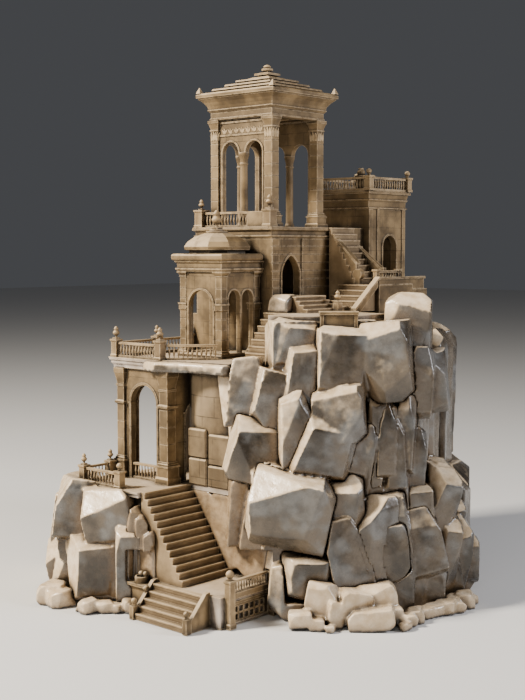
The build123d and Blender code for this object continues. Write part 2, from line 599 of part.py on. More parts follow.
podium = podium_body.fuse(ring, *side_pilasters, skirt) - [podium_room, door_cut, *joint_cuts]
parts["podium_walls"] = podium

cornice_box = (qx0, qx1, qy0, qy1)
cornice = courses(
    cornice_box, PODIUM_TOP - 9,
    [(1.4, 0.4, 0.9), (1.2, 1.5, 1.5), (2.8, 0.5, 0.5), (1.2, 0.8, 2.2), (1.4, 2.6, 2.6), (1.0, 2.2, 2.2)],
)
parts["podium_cornice"] = cornice & block(qx0 - 4, qx1 + 2.5, qy0 - 4, qy1 + 2, 250, 280)

TOWER_RAIL_Y = qy0 + 2.2
parts["tower_balustrade"] = balustrade((qx0 + 8.6, TOWER_RAIL_Y, PODIUM_TOP),
    (qx1 - 26, TOWER_RAIL_Y, PODIUM_TOP), tall=12)
parts["tower_balustrade_posts"] = [
    post(qx0 + 3.6, TOWER_RAIL_Y, PODIUM_TOP, tall=14.0, side=8.0),
    post(qx1 - 3.4, TOWER_RAIL_Y - 0.2, PODIUM_TOP, tall=13.5, side=7.6),
    block(qx1 - 25.9, qx1 - 8.8, TOWER_RAIL_Y - 1.5, TOWER_RAIL_Y + 1.5, PODIUM_TOP, PODIUM_TOP + 12),
]
parts["tower_urns"] = [
    urn(qx0 + 3.6, TOWER_RAIL_Y, PODIUM_TOP + 14.0),
    urn(qx1 - 3.4, TOWER_RAIL_Y - 0.2, PODIUM_TOP + 13.5, 1.3),
]

# ======================= belvedere tower =======================

tx0, tx1, ty0, ty1 = TOWER
TOWER_PIER = 10.0
PIER_SHAFT = 8.0
pier_spots = {
    "front": (tx1 - TOWER_PIER / 2, ty0 + TOWER_PIER / 2),
    "left": (tx0 + TOWER_PIER / 2, ty0 + TOWER_PIER / 2),
    "right": (tx1 - TOWER_PIER / 2, ty1 - TOWER_PIER / 2),
    "back": (tx0 + TOWER_PIER / 2, ty1 - TOWER_PIER / 2),
}
tower_piers = {}
for spot, (x, y) in pier_spots.items():
    tower_piers[spot] = pier(x, y, PODIUM_TOP, TOWER_CAP, PIER_SHAFT, plinth=9, cap=8.5, joints=6)
    parts[f"tower_pier_{spot}"] = tower_piers[spot]
all_piers = list(tower_piers.values())
# The rail posts are notched round the corner piers they stand against.
parts["tower_balustrade_posts"] = [rail_post - all_piers for rail_post in parts["tower_balustrade_posts"]]

bay = tx1 - tx0 - 2 * TOWER_PIER
bay_y = ty1 - ty0 - 2 * TOWER_PIER
tower_tall = TOWER_CAP - PODIUM_TOP
SCREEN = 3.6
MULLION_TALL = 58.5


def window_screen(length, count, crown, width):
    """A tower screen pierced by tall round arches, with a sill course and frieze band."""
    openings = [((i + 0.5) * length / count, width, crown) for i in range(count)]
    screen = arcade(length, tower_tall, SCREEN, openings, trim=1.4, impost=False)
    screen = screen - Pos(length / 2, SCREEN / 2, 0) * Box(length / count - width + 2, 3 * SCREEN,
        2 * MULLION_TALL)
    frieze = Pos(length / 2, 0, crown + 5.5) * Box(length, 1.6, 1.4)
    upper = Pos(length / 2, 0, crown + 15.5) * Box(length, 1.6, 1.4)
    return fused([screen, frieze, upper])


REACH = TOWER_PIER - 1.2
screens = {
    "tower_screen_front": Location((tx0 + REACH, ty0 + 3.0, PODIUM_TOP)) * window_screen(bay + 2.4, 2, 67,
        17.5),
    "tower_screen_west": Location((tx0 + 3.0, ty1 - REACH, PODIUM_TOP),
        (0, 0, -90)) * window_screen(bay_y + 2.4, 2, 67, 16.5),
    "tower_screen_north": Location((tx1 - REACH, ty1 - 3.0, PODIUM_TOP),
        (0, 0, 180)) * window_screen(bay + 2.4, 2, 67, 17.5),
}
for name, screen in screens.items():
    parts[name] = screen - all_piers
shaft_points = [
    (4.0, 0), (4.0, 2.0), (3.3, 3.4), (3.0, 4.4), (3.0, 22), (2.8, 48.5), (3.3, 49), (3.3, 50),
    (2.9, 50.5), (3.2, 53), (4.2, 56.5), (4.2, MULLION_TALL),
]
mullion_outline = Polyline(*[(r, 0, z) for r, z in shaft_points], (0, 0, MULLION_TALL), (0, 0, 0),
    close=True)
mullion = revolve(make_face(mullion_outline), Axis.Z)
mid_x, mid_y = (tx0 + tx1) / 2, (ty0 + ty1) / 2
parts["tower_mullions"] = [
    Pos(mid_x, ty0 + 3 + SCREEN / 2, PODIUM_TOP) * mullion,
    Pos(tx0 + 3 + SCREEN / 2, mid_y, PODIUM_TOP) * mullion,
    Pos(mid_x, ty1 - 3 - SCREEN / 2, PODIUM_TOP) * mullion,
]
for name in screens:
    parts[name] = parts[name] - parts["tower_mullions"]

beam_box = (tx0 + 1, tx1 - 1, ty0 + 1, ty1 - 1)
ring_beam = courses(beam_box, TOWER_CAP, [(1.6, 0.6, 0.6), (4.4, 0, 0)])
BEAM_TOP = TOWER_CAP + 6.0
BEAM_WIDE = 8.5
ring_beam -= block(tx0 + BEAM_WIDE, tx1 - BEAM_WIDE, ty0 + BEAM_WIDE, ty1 - BEAM_WIDE, 350, 380)
parts["tower_ring_beam"] = ring_beam

# The tower roof lifts off: a deep coved cornice, three stepped tiers and a finial.
cap_box = (tx0 + 1, tx1 - 1, ty0 + 1, ty1 - 1)
cove = courses(
    cap_box, BEAM_TOP,
    [(1.4, 0.4, 1.4), (1.0, 1.8, 1.8), (2.6, 1.2, 2.0), (2.8, 2.0, 4.0), (2.6, 4.0, 6.8), (1.0, 7.2, 7.2),
        (2.6, 8.4, 8.4), (1.2, 8.4, 7.0)],
)
COVE_TOP = BEAM_TOP + 15.2
locating_rim = block(
    tx0 + BEAM_WIDE + ROOF_GAP, tx1 - BEAM_WIDE - ROOF_GAP, ty0 + BEAM_WIDE + ROOF_GAP,
    ty1 - BEAM_WIDE - ROOF_GAP,
    BEAM_TOP - 4, BEAM_TOP + 1,
)
locating_rim -= block(tx0 + 12, tx1 - 12, ty0 + 12, ty1 - 12, 350, BEAM_TOP)
parts["tower_roof_cornice"] = cove + locating_rim
roof_mid = ((tx0 + tx1) / 2, (ty0 + ty1) / 2)


def centred(side):
    half = side / 2
    return (roof_mid[0] - half, roof_mid[0] + half, roof_mid[1] - half, roof_mid[1] + half)


tier_rows = [(60, 3.6, 1.6), (46, 3.6, 1.4), (34, 3.4, 1.2)]
z = COVE_TOP
tiers = []
for side, tall, out in tier_rows:
    tiers.append(courses(centred(side), z, [(tall * 0.6, 0, 0), (tall * 0.4, out, out * 0.6)]))
    z += tall
tiers.append(frustum(centred(13), z, z + 2.4, 7, 2))
parts["tower_roof_tiers"] = fused(tiers)
TIER_TOP = z + 2.4
parts["tower_roof_finial"] = fused([
    courses(centred(8), TIER_TOP, [(1.4, 0.6, 2.6), (1.6, 3.4, 3.4), (1.2, 2.2, -1.0)]),
    Pos(roof_mid[0], roof_mid[1], TIER_TOP + 4.6) * Cylinder(2.8, 1.6),
    Pos(roof_mid[0], roof_mid[1], TIER_TOP + 6.0) * Cylinder(4.6, 1.6),
    Pos(roof_mid[0], roof_mid[1], TIER_TOP + 7.2) * Cylinder(2.4, 1.6),
    Pos(roof_mid[0], roof_mid[1], TIER_TOP + 8.2) * scale(Sphere(3.0), (1, 1, 0.62)),
])
horns = []
for x in (tx0 - 5.2, tx1 + 5.2):
    for y in (ty0 - 5.2, ty1 + 5.2):
        horns.append(frustum((x - 2.2, x + 2.2, y - 2.2, y + 2.2), COVE_TOP, COVE_TOP + 4.6, 0, -1.9))
parts["tower_roof_horns"] = horns

# ======================= house behind the stairs =======================

hx0, hx1, hy0, hy1 = HOUSE
HOUSE_WALL = 5.0
house = block(hx0, hx1, hy0, hy1, CORE_UPPER_TOP, HOUSE_TOP - 8)
corner_strips = []
for y0, y1 in ((hy0, hy0 + 4.5), (hy1 - 4.5, hy1), (hy0 + 11, hy0 + 14)):
    corner_strips.append(block(hx1 - 1, hx1 + 1.0, y0, y1, 233, HOUSE_TOP - 8))
    corner_strips.append(block(hx0 - 1.0, hx0 + 1, y0, y1, 233, HOUSE_TOP - 8))
house = house.fuse(*corner_strips)
HOUSE_DOOR_Y = hy0 + 29
HOUSE_FLOOR = 233.0
house_door = Location((hx1, HOUSE_DOOR_Y, HOUSE_FLOOR), (0, 0, 90)) * extrude(
    Plane.XZ * arch_outline(18.5, 36), HOUSE_WALL + 4, both=True
)
house_ring = Location((hx1, HOUSE_DOOR_Y, HOUSE_FLOOR),
    (0, 0, 90)) * extrude(Plane.XZ * arch_outline(22, 37.8), 1.0, both=True)
back_door = Location((hx0, hy0 + 26, HOUSE_FLOOR), (0, 0, 90)) * extrude(Plane.XZ * arch_outline(15, 30),
    HOUSE_WALL + 4, both=True)
house_room = block(hx0 + HOUSE_WALL, hx1 - HOUSE_WALL, hy0 + HOUSE_WALL, hy1 - HOUSE_WALL, HOUSE_FLOOR,
    HOUSE_TOP)
parts["house_walls"] = house.fuse(house_ring) - [house_room, house_door, back_door]
house_beam = courses(
    (hx0, hx1, hy0, hy1), HOUSE_TOP - 8,
    [(1.2, 1.2, 1.8), (5.0, 0.6, 0.6), (1.8, 1.0, 2.0), (4.4, 1.2, 2.4), (1.8, 3.8, 3.8), (1.0, 3.2, 3.2)],
)
parts["house_cornice"] = house_beam
HOUSE_DECK = HOUSE_TOP - 8 + 15.2
deck_x0, deck_x1, deck_y0, deck_y1 = hx0 - 1.5, hx1 + 1.5, hy0 - 1.5, hy1 + 1.5
house_runs = []
for x in (deck_x0, deck_x1):
    house_runs.append(balustrade((x, deck_y0 + 3.9, HOUSE_DECK), (x, deck_y1 - 3.9, HOUSE_DECK), tall=11))
for y in (deck_y0, deck_y1):
    house_runs.append(balustrade((deck_x0 + 3.9, y, HOUSE_DECK), (deck_x1 - 3.9, y, HOUSE_DECK), tall=11))
parts["house_balustrade"] = house_runs
corners = [(x, y) for x in (deck_x0, deck_x1) for y in (deck_y0, deck_y1)]
parts["house_posts"] = [post(x, y, HOUSE_DECK, tall=12) for x, y in corners]
parts["house_finials"] = [ball_finial(x, y, HOUSE_DECK + 12, 2.3) for x, y in corners]
lantern_x, lantern_y = hx1 - 17, hy0 + 12
parts["house_lantern"] = fused([
    Pos(lantern_x, lantern_y, HOUSE_DECK + 5) * Cylinder(4.4, 10),
    Pos(lantern_x, lantern_y, HOUSE_DECK + 10.8) * Cylinder(8.4, 1.6),
    Pos(lantern_x, lantern_y, HOUSE_DECK + 12.4) * Cylinder(5.4, 1.6),
    Pos(lantern_x, lantern_y, HOUSE_DECK + 15.2) * Sphere(3.4),
    Pos(lantern_x, lantern_y, HOUSE_DECK + 18.6) * Cylinder(2.2, 1.2),
])

# ======================= platform, courts and upper stairs =======================

FLIGHT_TOP_X = qx1 + 2.6
UPPER_STEPS, UPPER_RUN = 9, 2.85
upper_rise = (PODIUM_TOP - LANDING) / UPPER_STEPS
landing_x0 = FLIGHT_TOP_X + UPPER_STEPS * UPPER_RUN
UPPER_FLIGHT_Y = (92.0, 121.0)
upper_flight = Location((landing_x0, UPPER_FLIGHT_Y[1], LANDING), (0, 0, 180)) * flight(
    UPPER_STEPS, upper_rise, UPPER_RUN, UPPER_FLIGHT_Y[1] - UPPER_FLIGHT_Y[0], LANDING - CORE_UPPER_TOP
)
parts["upper_stairs"] = upper_flight
LANDING_EDGE_X = 40.0
parts["upper_landing"] = block(landing_x0, LANDING_EDGE_X, 91, 135.9, CORE_UPPER_TOP, LANDING) + block(
    -4.9, landing_x0, 121.1, 135.9, CORE_UPPER_TOP, LANDING
)
MID_STEPS = 5
MID_RUN = 5.0
mid_rise = (LANDING - PLATFORM) / MID_STEPS
mid_flight = Location((36.4, 91 - MID_STEPS * MID_RUN, PLATFORM), (0, 0, 90)) * flight(MID_STEPS,
    mid_rise, MID_RUN, 33, 0)
parts["middle_stairs"] = mid_flight - upper_flight

parts["rear_court"] = block(hx0, FLIGHT_TOP_X, qy1 + 0.1, hy0 - 0.1, CORE_UPPER_TOP, PODIUM_TOP) - [
    parts["podium_cornice"], upper_flight, house_beam, parts["upper_landing"]
]
PLATFORM_PLAN = [(-11.8, 17), (16.2, 17), (16.2, -12), (42, -14), (58, 2), (68, 30), (69, 62), (40, 66),
    (-11.8, 66)]
platform = prism(PLATFORM_PLAN, CORE_UPPER_TOP, PLATFORM)
parts["platform_paving"] = platform - podium
parts["east_court"] = prism([(-4.9, 136.1), (40, 136.1), (40, 156), (-4.9, 170)], CORE_UPPER_TOP,
    226) - parts["house_walls"]

court = block(qx1, 7, qy0 + 7, 66, PLATFORM, DOOR_COURT) - parts["podium_walls"]
parts["door_court"] = court - mid_flight
DOOR_STEPS = 4
DOOR_RUN = 3.8
door_flight = Location((7 + DOOR_STEPS * DOOR_RUN, 61, PLATFORM), (0, 0, 180)) * flight(
    DOOR_STEPS, (DOOR_COURT - PLATFORM) / DOOR_STEPS, DOOR_RUN, 36, 0
)
parts["door_stairs"] = door_flight - mid_flight

TERRACE_STEPS = 7
terrace_rise = (PLATFORM - UPPER_FLOOR) / TERRACE_STEPS
terrace_flight = Location((14, 16.9 - TERRACE_STEPS * 3.4, UPPER_FLOOR),
    (0, 0, 90)) * flight(TERRACE_STEPS, terrace_rise, 3.4, 25, 0)
parts["terrace_stairs"] = terrace_flight - platform


def parapet(start, end, tall, thick, drop, cap=1.8, over=0.9):
    """A solid wall between two points with a projecting cap, level or raked.
    It reaches drop below the straight line from start to end."""
    run = math.hypot(end[0] - start[0], end[1] - start[1])
    rise = end[2] - start[2]
    turn = math.degrees(math.atan2(end[1] - start[1], end[0] - start[0]))
    wall = Polyline((0, -drop), (run, rise - drop), (run, rise + tall - cap), (0, tall - cap), close=True)
    top = Polyline((-over, tall - cap), (run + over, rise + tall - cap), (run + over, rise + tall),
        (-over, tall), close=True)
    pieces = [
        extrude(Plane.XZ * make_face(wall), thick / 2, both=True),
        extrude(Plane.XZ * make_face(top), thick / 2 + over, both=True),
    ]
    return Location(start, (0, 0, turn)) * fused(pieces)


left_parapet = parapet((FLIGHT_TOP_X + 1.2, 94.2, 262), (landing_x0 + 1.5, 94.2, 237), 10.5, 3.0, 8)
scroll = Pos(landing_x0 + 2.6, 94.2, LANDING + 8) * Rot(90, 0, 0) * Cylinder(4.4, 4.4)
scroll_foot = block(landing_x0 + 0.2, landing_x0 + 5.0, 92, 96.4, LANDING, LANDING + 8)
parts["upper_stair_parapet_left"] = fused([left_parapet, scroll, scroll_foot]) - [upper_flight,
    parts["upper_landing"]]
right_parapet = parapet((FLIGHT_TOP_X + 5, 119.5, 255), (landing_x0 + 7, 119.5, 233.5), 9, 2.6, 8)
right_newel = block(landing_x0 + 5.5, landing_x0 + 9.5, 117.6, 121.4, LANDING, LANDING + 13)
parts["upper_stair_parapet_right"] = fused([right_parapet, right_newel]) - [upper_flight,
    parts["upper_landing"], mid_flight]

PARAPET_TOP = 236.0
middle_parapet = parapet((38.3, 61.5, PLATFORM - 2), (38.3, 90, LANDING + 1.5), 5, 2.8, 3)
parts["middle_stair_parapet"] = middle_parapet - [mid_flight, parts["upper_landing"], platform, core_upper]
east_parapet = parapet((38.3, 91.5, PARAPET_TOP - 6), (38.3, 152, PARAPET_TOP - 6), 6, 2.8, 14)
parts["east_parapet"] = east_parapet - [parts["upper_landing"], parts["middle_stair_parapet"],
    parts["east_court"]]
parts["landing_balustrade"] = fused([
    balustrade((34.6, 95.5, LANDING), (34.6, 121.5, LANDING), tall=11),
    post(34.6, 94, LANDING, tall=12, side=3.4),
    post(34.6, 123, LANDING, tall=12, side=3.4),
]) - [parts["east_parapet"]]

BENCH_RIGHT, BENCH_BACK = 54.0, -44.0
bench_x, bench_y = face(BENCH_RIGHT, BENCH_BACK)
bench = fused([
    Pos(0, 0, 7.2) * Box(25, 8, 14.4),
    Pos(0, 0, 14.6) * Box(28, 11, 2.4),
    Pos(0, 0, 1.2) * Box(27, 10.4, 2.4),
    Pos(-12, 0, 7) * Box(2.6, 9.6, 14),
    Pos(12, 0, 7) * Box(2.6, 9.6, 14),
])
parts["parapet_block"] = Location((bench_x, bench_y, 198.2), (0, 0, FACE_TURN)) * bench - [core_upper,
    platform]
STAIR_URN = (25.2, 58.0)
parts["platform_urn"] = fused([
    block(STAIR_URN[0] - 2.6, STAIR_URN[0] + 2.6, STAIR_URN[1] - 2.6, STAIR_URN[1] + 2.6, PLATFORM,
        PLATFORM + 7),
    urn(*STAIR_URN, PLATFORM + 7, 1.1),
]) - door_flight

# Cut blocks stack up beside the head of the main stairs.
cut_blocks = [
    block(-34, -15, -45, -34, LOWER_FLOOR, 104),
    block(-35, -16, -44.5, -33, 104.2, 126),
    block(-14.6, 7, -44.5, -32, LOWER_FLOOR, 100),
    block(-14.8, 6.5, -43.5, -31, 100.2, 123),
]
parts["cut_blocks"] = [chamfer(b.edges(), 1.1) - [core_middle, retaining] for b in cut_blocks]

# ======================= rock castings =======================

# Ways to hew a rock, each a list of flat breaks (bearing, rise, share of the half size kept).
# Bearing 0 faces right and -90 faces the viewer; rise is how far the break looks upward.
CUTS = {
    "block": [
        (-114, 12, 0.80), (-60, -6, 0.84), (-90, 62, 0.80), (-90, -52, 0.82), (180, 50, 0.90),
        (0, 48, 0.86),
    ],
    "boulder": [
        (-112, 40, 0.66), (-58, -8, 0.76), (-92, -40, 0.72), (-165, -10, 0.82), (-24, 14, 0.80),
        (0, 48, 0.80), (180, -42, 0.86),
    ],
    "prow": [
        (-150, 8, 0.62), (-38, -6, 0.68), (-90, 56, 0.75), (-90, -56, 0.80), (0, 46, 0.84),
        (180, -42, 0.84),
    ],
    "wedge": [
        (-30, 36, 0.68), (-150, -36, 0.68), (-100, 22, 0.84), (-80, -30, 0.84), (150, 42, 0.80),
    ],
    "slab": [
        (-90, 14, 0.78), (180, 52, 0.82), (-20, -48, 0.84), (-60, -34, 0.84), (0, 60, 0.90),
    ],
    "shard": [
        (-160, 20, 0.72), (-20, 18, 0.72), (-90, 14, 0.80), (-90, -58, 0.88), (0, 58, 0.84),
    ],
    "overhang": [
        (-116, -22, 0.68), (-58, -30, 0.72), (-100, 44, 0.74), (-24, 24, 0.82), (0, -50, 0.80),
        (180, -40, 0.84),
    ],
}
BEARING_SWAY = 9.0
RISE_SWAY = 6.0
SHARE_SWAY = 0.03
TURN_SWAY = 17.0
LEAN_SWAY = 8.0


def hewn(cut, right, back, foot, head, wide, deep, roll, seed):
    """A rock with few large flat breaks and sharp edges, tipped to the right by roll."""
    rng = random.Random(seed)
    size = (wide, deep, head - foot)
    rock = Box(*size)
    for compass, rise, share in CUTS[cut]:
        a = math.radians(compass + rng.uniform(-BEARING_SWAY, BEARING_SWAY))
        h = math.radians(rise + rng.uniform(-RISE_SWAY, RISE_SWAY))
        way = Vector(math.cos(h) * math.cos(a), math.cos(h) * math.sin(a), math.sin(h))
        reach = (abs(way.X) * size[0] + abs(way.Y) * size[1] + abs(way.Z) * size[2]) / 2
        at = way * reach * (share + rng.uniform(-SHARE_SWAY, SHARE_SWAY))
        rock = split(rock, bisect_by=Plane(origin=at, z_dir=way), keep=Keep.BOTTOM)
    x, y = face(right, back)
    spot = Location((x, y, (foot + head) / 2), (0, 0, FACE_TURN + rng.uniform(-TURN_SWAY, TURN_SWAY)))
    return spot * Rotation(rng.uniform(-LEAN_SWAY, LEAN_SWAY), roll, 0) * rock


def hewn_set(rows, seed):
    return [hewn(*row, seed + i) for i, row in enumerate(rows)]


# Rocks of the show side, each (cut, right, back, foot, head, wide, deep, roll).
BOULDERS = [
    ("boulder", 20, -70, 52, 104, 58, 44, 12),
    ("block", 31, -68, 14, 48, 34, 30, -4),
    ("block", 55, -46, 154, 204, 36, 32, 3),
    ("overhang", 55, -54, 122, 162, 36, 36, -4),
    ("overhang", 88, -44, 150, 207, 36, 38, -5),
    ("prow", 42, -58, 96, 142, 50, 34, 10),
    ("slab", 85, -54, 26, 66, 34, 34, -8),
    ("block", 108, -6, 176, 226, 34, 38, 2),
]
UPPER_ROCKS = [
    ("block", 24, -34, 174, 208, 32, 30, 4),
    ("prow", 28, -44, 126, 196, 26, 32, -3),
    ("wedge", 8, -44, 126, 172, 30, 30, 14),
    ("slab", -15, -36, 132, 180, 34, 22, -8),
]
LOWER_ROCKS = [
    ("shard", 56, -64, 20, 72, 30, 32, -12),
    ("prow", 58, -58, 38, 100, 30, 32, -5),
    ("boulder", 16, -56, 80, 108, 54, 34, 6),
    ("overhang", 0, -48, 90, 136, 50, 34, 16),
    ("slab", 88, -46, 30, 86, 36, 32, -10),
    ("shard", 113, -44, 24, 74, 28, 28, -12),
    ("block", 109, -44, 0, 34, 18, 24, 0),
    ("shard", 123, -42, 0, 30, 18, 22, 4),
]
SHARDS = [
    ("shard", 66, -47, 96, 130, 13, 24, 14),
    ("shard", 75, -45, 82, 136, 13, 26, 9),
    ("shard", 85, -43, 94, 150, 13, 26, 4),
    ("shard", 95, -40, 84, 140, 13, 26, -3),
    ("shard", 104, -35, 98, 156, 14, 28, 2),
    ("shard", 80, -42, 62, 102, 13, 26, -8),
    ("shard", 91, -41, 58, 98, 13, 26, 6),
    ("shard", 100, -37, 64, 108, 14, 26, -5),
    ("shard", 111, -28, 82, 130, 14, 28, 3),
]
EAST_ROCKS = [
    ("shard", 113, -26, 136, 188, 21, 30, 3),
    ("wedge", 125, -16, 140, 183, 21, 30, -6),
    ("block", 110, -38, 58, 90, 24, 26, -5),
    ("prow", 129, -26, 50, 100, 22, 32, 10),
    ("prow", 132, -26, 0, 68, 20, 32, 5),
    ("boulder", 141, -10, 0, 61, 22, 34, 8),
    ("shard", 128, -12, 38, 102, 24, 32, 8),
    ("block", 146, 2, 34, 68, 13, 24, 4),
    ("block", 157, -2, 8, 42, 12, 18, 0),
]
WEST_ROCKS = [
    ("boulder", -107, -24, 36, 85, 42, 36, -6),
    ("shard", -135, -6, 42, 87, 38, 38, 8),
    ("prow", -124, -24, 0, 50, 38, 36, -4),
    ("wedge", -140, -6, 20, 52, 22, 30, -8),
    ("boulder", -151, 8, 0, 40, 19, 32, -6),
    ("shard", -95, -30, 0, 64, 24, 24, 4),
]
DRAPES = [
    ("shard", -38, -36, 60, 130, 36, 20, -4),
    ("shard", -15, -48, 34, 116, 20, 24, 3),
]
CRAG_STONES = [
    ("wedge", 41, -84, 2, 30, 22, 16, 10),
    ("block", 26, -92, 0, 12, 16, 14, -6),
    ("slab", 37, -96, 0, 8, 10, 9, 4),
    ("wedge", 49, -92, 0, 19, 11, 11, 8),
    ("slab", 74, -94, 0, 14, 32, 16, -6),
    ("slab", 62, -86, 2, 25, 22, 16, 8),
    ("boulder", 80, -80, 4, 28, 26, 18, -6),
    ("block", 89, -86, 0, 14, 13, 11, 4),
]


# Plainer blocks stand behind the hewn ones and close the gaps between them.
upper_backing = [
    boulder(20, -30, 150, 207, 32, 32, 15, turn=10, blunt=0.92),
    boulder(64, -32, 176, 207, 40, 26, 16, blunt=0.92),
    boulder(86, -24, 150, 204, 40, 26, 31),
    boulder(42, -30, 150, 204, 34, 22, 48),
    boulder(54, -34, 120, 190, 40, 26, 49),
    boulder(28, -42, 124, 172, 30, 24, 32, roll=10),
    boulder(-2, -30, 118, 168, 28, 22, 33, roll=6),
    boulder(60, -42, 84, 136, 44, 30, 34, roll=-6),
    boulder(10, -46, 82, 124, 34, 28, 19, roll=14),
    boulder(36, -46, 84, 140, 34, 26, 50),
]
lower_backing = [
    boulder(6, -52, 74, 112, 34, 28, 40, roll=8),
    boulder(26, -52, 16, 84, 56, 34, 35),
    boulder(70, -42, 0, 84, 52, 34, 36),
    boulder(24, -60, 0, 40, 40, 34, 30, roll=6),
    boulder(56, -62, 0, 34, 40, 30, 37, roll=-6),
    boulder(88, -50, 0, 46, 40, 34, 38, roll=6),
]
# Drapery of fluted rock hangs behind the main stairs.
flutes = [
    boulder(*bearing(6, -40), 20, 116, 16, 22, 27, roll=5),
    boulder(*bearing(-8, -39), 20, 84, 15, 18, 28, roll=4),
    boulder(*bearing(20, -40), 20, 128, 17, 26, 26, roll=6),
    boulder(*bearing(-21, -38), 20, 84, 15, 18, 29, roll=3),
    boulder(*bearing(-32, -38), 20, 84, 15, 18, 47, roll=2),
    boulder(*bearing(32, -42), 20, 104, 20, 28, 39, roll=8),
    boulder(*bearing(14, -36), 78, 134, 26, 24, 41, roll=6),
    boulder(*bearing(-33, -92), 8, 72, 9, 9, 42),
    boulder(*bearing(-25, -92.5), 18, 60, 9, 9, 43),
    boulder(*bearing(-17, -92.5), 18, 50, 9, 9, 44),
    boulder(*bearing(-40, -92), 0, 78, 12, 12, 45),
]


def shard_wall(spots, seed):
    """Upright splinters side by side, each (right, back, foot, head, wide)."""
    rocks = []
    for i, (right, back, z0, z1, wide) in enumerate(spots):
        rng = random.Random(seed + i)
        turn, roll = rng.uniform(-25, 25), rng.uniform(-7, 7)
        rocks.append(
            boulder(right, back, z0, z1, wide, wide * 2.2, seed + i, turn=turn, roll=roll, blunt=0.78)
        )
    return rocks


east_shards = shard_wall(
    [
        (80, -40, 80, 156, 15), (92, -36, 74, 152, 14), (104, -30, 78, 150, 14), (110, -22, 70, 150, 15),
        (113, -8, 86, 158, 16), (72, -44, 82, 138, 16),
    ],
    40,
)
east_upper = [
    boulder(110, 12, 168, 222, 30, 32, 61, roll=-3, blunt=0.86),
    boulder(104, -10, 150, 204, 24, 30, 63, roll=-4),
    boulder(116, 12, 143, 180, 26, 28, 62, roll=6),
    boulder(108, 22, 96, 156, 28, 34, 64),
    boulder(104, 2, 86, 152, 30, 34, 65),
    boulder(108, 46, 120, 208, 28, 38, 66, roll=-3),
]
east_lower = [
    boulder(98, -36, 20, 96, 20, 36, 71, roll=-4),
    boulder(110, -28, 20, 90, 20, 38, 72, roll=-6),
    boulder(120, -14, 16, 86, 22, 38, 73, roll=-6),
    boulder(132, 2, 14, 76, 24, 40, 74, roll=-8),
    boulder(142, 16, 10, 62, 24, 40, 75, roll=-10),
    boulder(106, -38, 0, 44, 30, 30, 76),
    boulder(130, -14, 0, 42, 32, 34, 77, roll=-8),
    boulder(146, 10, 0, 36, 28, 38, 78, roll=-8),
    boulder(112, 10, 60, 104, 36, 40, 79),
    boulder(124, 32, 30, 100, 32, 44, 80, roll=-6),
]
west_crag = [
    boulder(-137, 0, 36, 80, 26, 34, 81, roll=8),
    boulder(-104, -24, 30, 82, 36, 34, 82, roll=-5, turn=12),
    boulder(-121, -22, 0, 50, 38, 32, 83, roll=10),
    boulder(-142, 2, 0, 44, 26, 40, 84, roll=10),
    boulder(-84, -40, 14, 74, 17, 22, 85, roll=-3),
    boulder(-92, -38, 0, 60, 26, 26, 86),
    boulder(-91, -32, 40, 81, 22, 22, 90, blunt=0.88),
    boulder(-74, -40, 18, 66, 14, 18, 89, roll=-8),
    boulder(-146, 22, 0, 78, 30, 40, 87, roll=8),
    boulder(-142, 46, 0, 80, 34, 44, 88, roll=6),
]


def cliff(corners, z0, z1, seed, wide=34.0, deep=30.0):
    """Boulders shoulder to shoulder along a path of (x, y) corners."""
    rocks = []
    count = 0
    for (xa, ya), (xb, yb) in zip(corners, corners[1:]):
        length = math.hypot(xb - xa, yb - ya)
        heading = math.degrees(math.atan2(yb - ya, xb - xa)) - FACE_TURN
        number = max(1, round(length / (wide * 0.72)))
        for i in range(number):
            rng = random.Random(seed + count)
            share = (i + 0.5) / number
            right, back = bearing(xa + (xb - xa) * share, ya + (yb - ya) * share)
            high = z1 - rng.uniform(0, 0.12) * (z1 - z0)
            across, along = wide * rng.uniform(0.85, 1.15), deep * rng.uniform(0.9, 1.2)
            turn, roll = heading + rng.uniform(-12, 12), rng.uniform(-6, 6)
            rocks.append(
                boulder(right, back, z0, high, across, along, seed + count, turn=turn, roll=roll)
            )
            count += 1
    return rocks


EAST_LOW = [(56, -34), (92, -4), (100, 50), (88, 110)]
EAST_MIDDLE = [(48, -34), (72, -10), (83, 26), (82, 76), (68, 112)]
EAST_HIGH = [(46, -18), (62, 2), (72, 30), (74, 76), (64, 108)]
NORTH_LOW = [(88, 110), (52, 168), (2, 190), (-68, 186), (-102, 106)]
NORTH_HIGH = [(68, 112), (46, 162), (0, 186), (-60, 184), (-98, 108)]
WEST_LOW = [(-102, 106), (-106, 4), (-104, -50)]
WEST_HIGH = [(-98, 108), (-96, 36)]
WEST_MIDDLE = [(-96, 30), (-97, 2)]

filler_lower = cliff(EAST_LOW, 0, 90, 210, wide=30, deep=30)
filler_middle = cliff(EAST_MIDDLE, 76, 168, 230, wide=24, deep=26)
filler_upper = cliff(EAST_HIGH, 150, 207, 250, wide=26, deep=24)
north_lower = cliff(NORTH_LOW, 0, 94, 110, wide=38, deep=34)
north_upper = cliff(NORTH_HIGH, 78, 204, 130, wide=32, deep=28)
west_middle = cliff(WEST_MIDDLE, 78, 164, 190, wide=26, deep=20)
west_lower = cliff(WEST_LOW, 0, 78, 150, wide=36, deep=32)
west_upper = cliff(WEST_HIGH, 78, 204, 170, wide=30, deep=24)

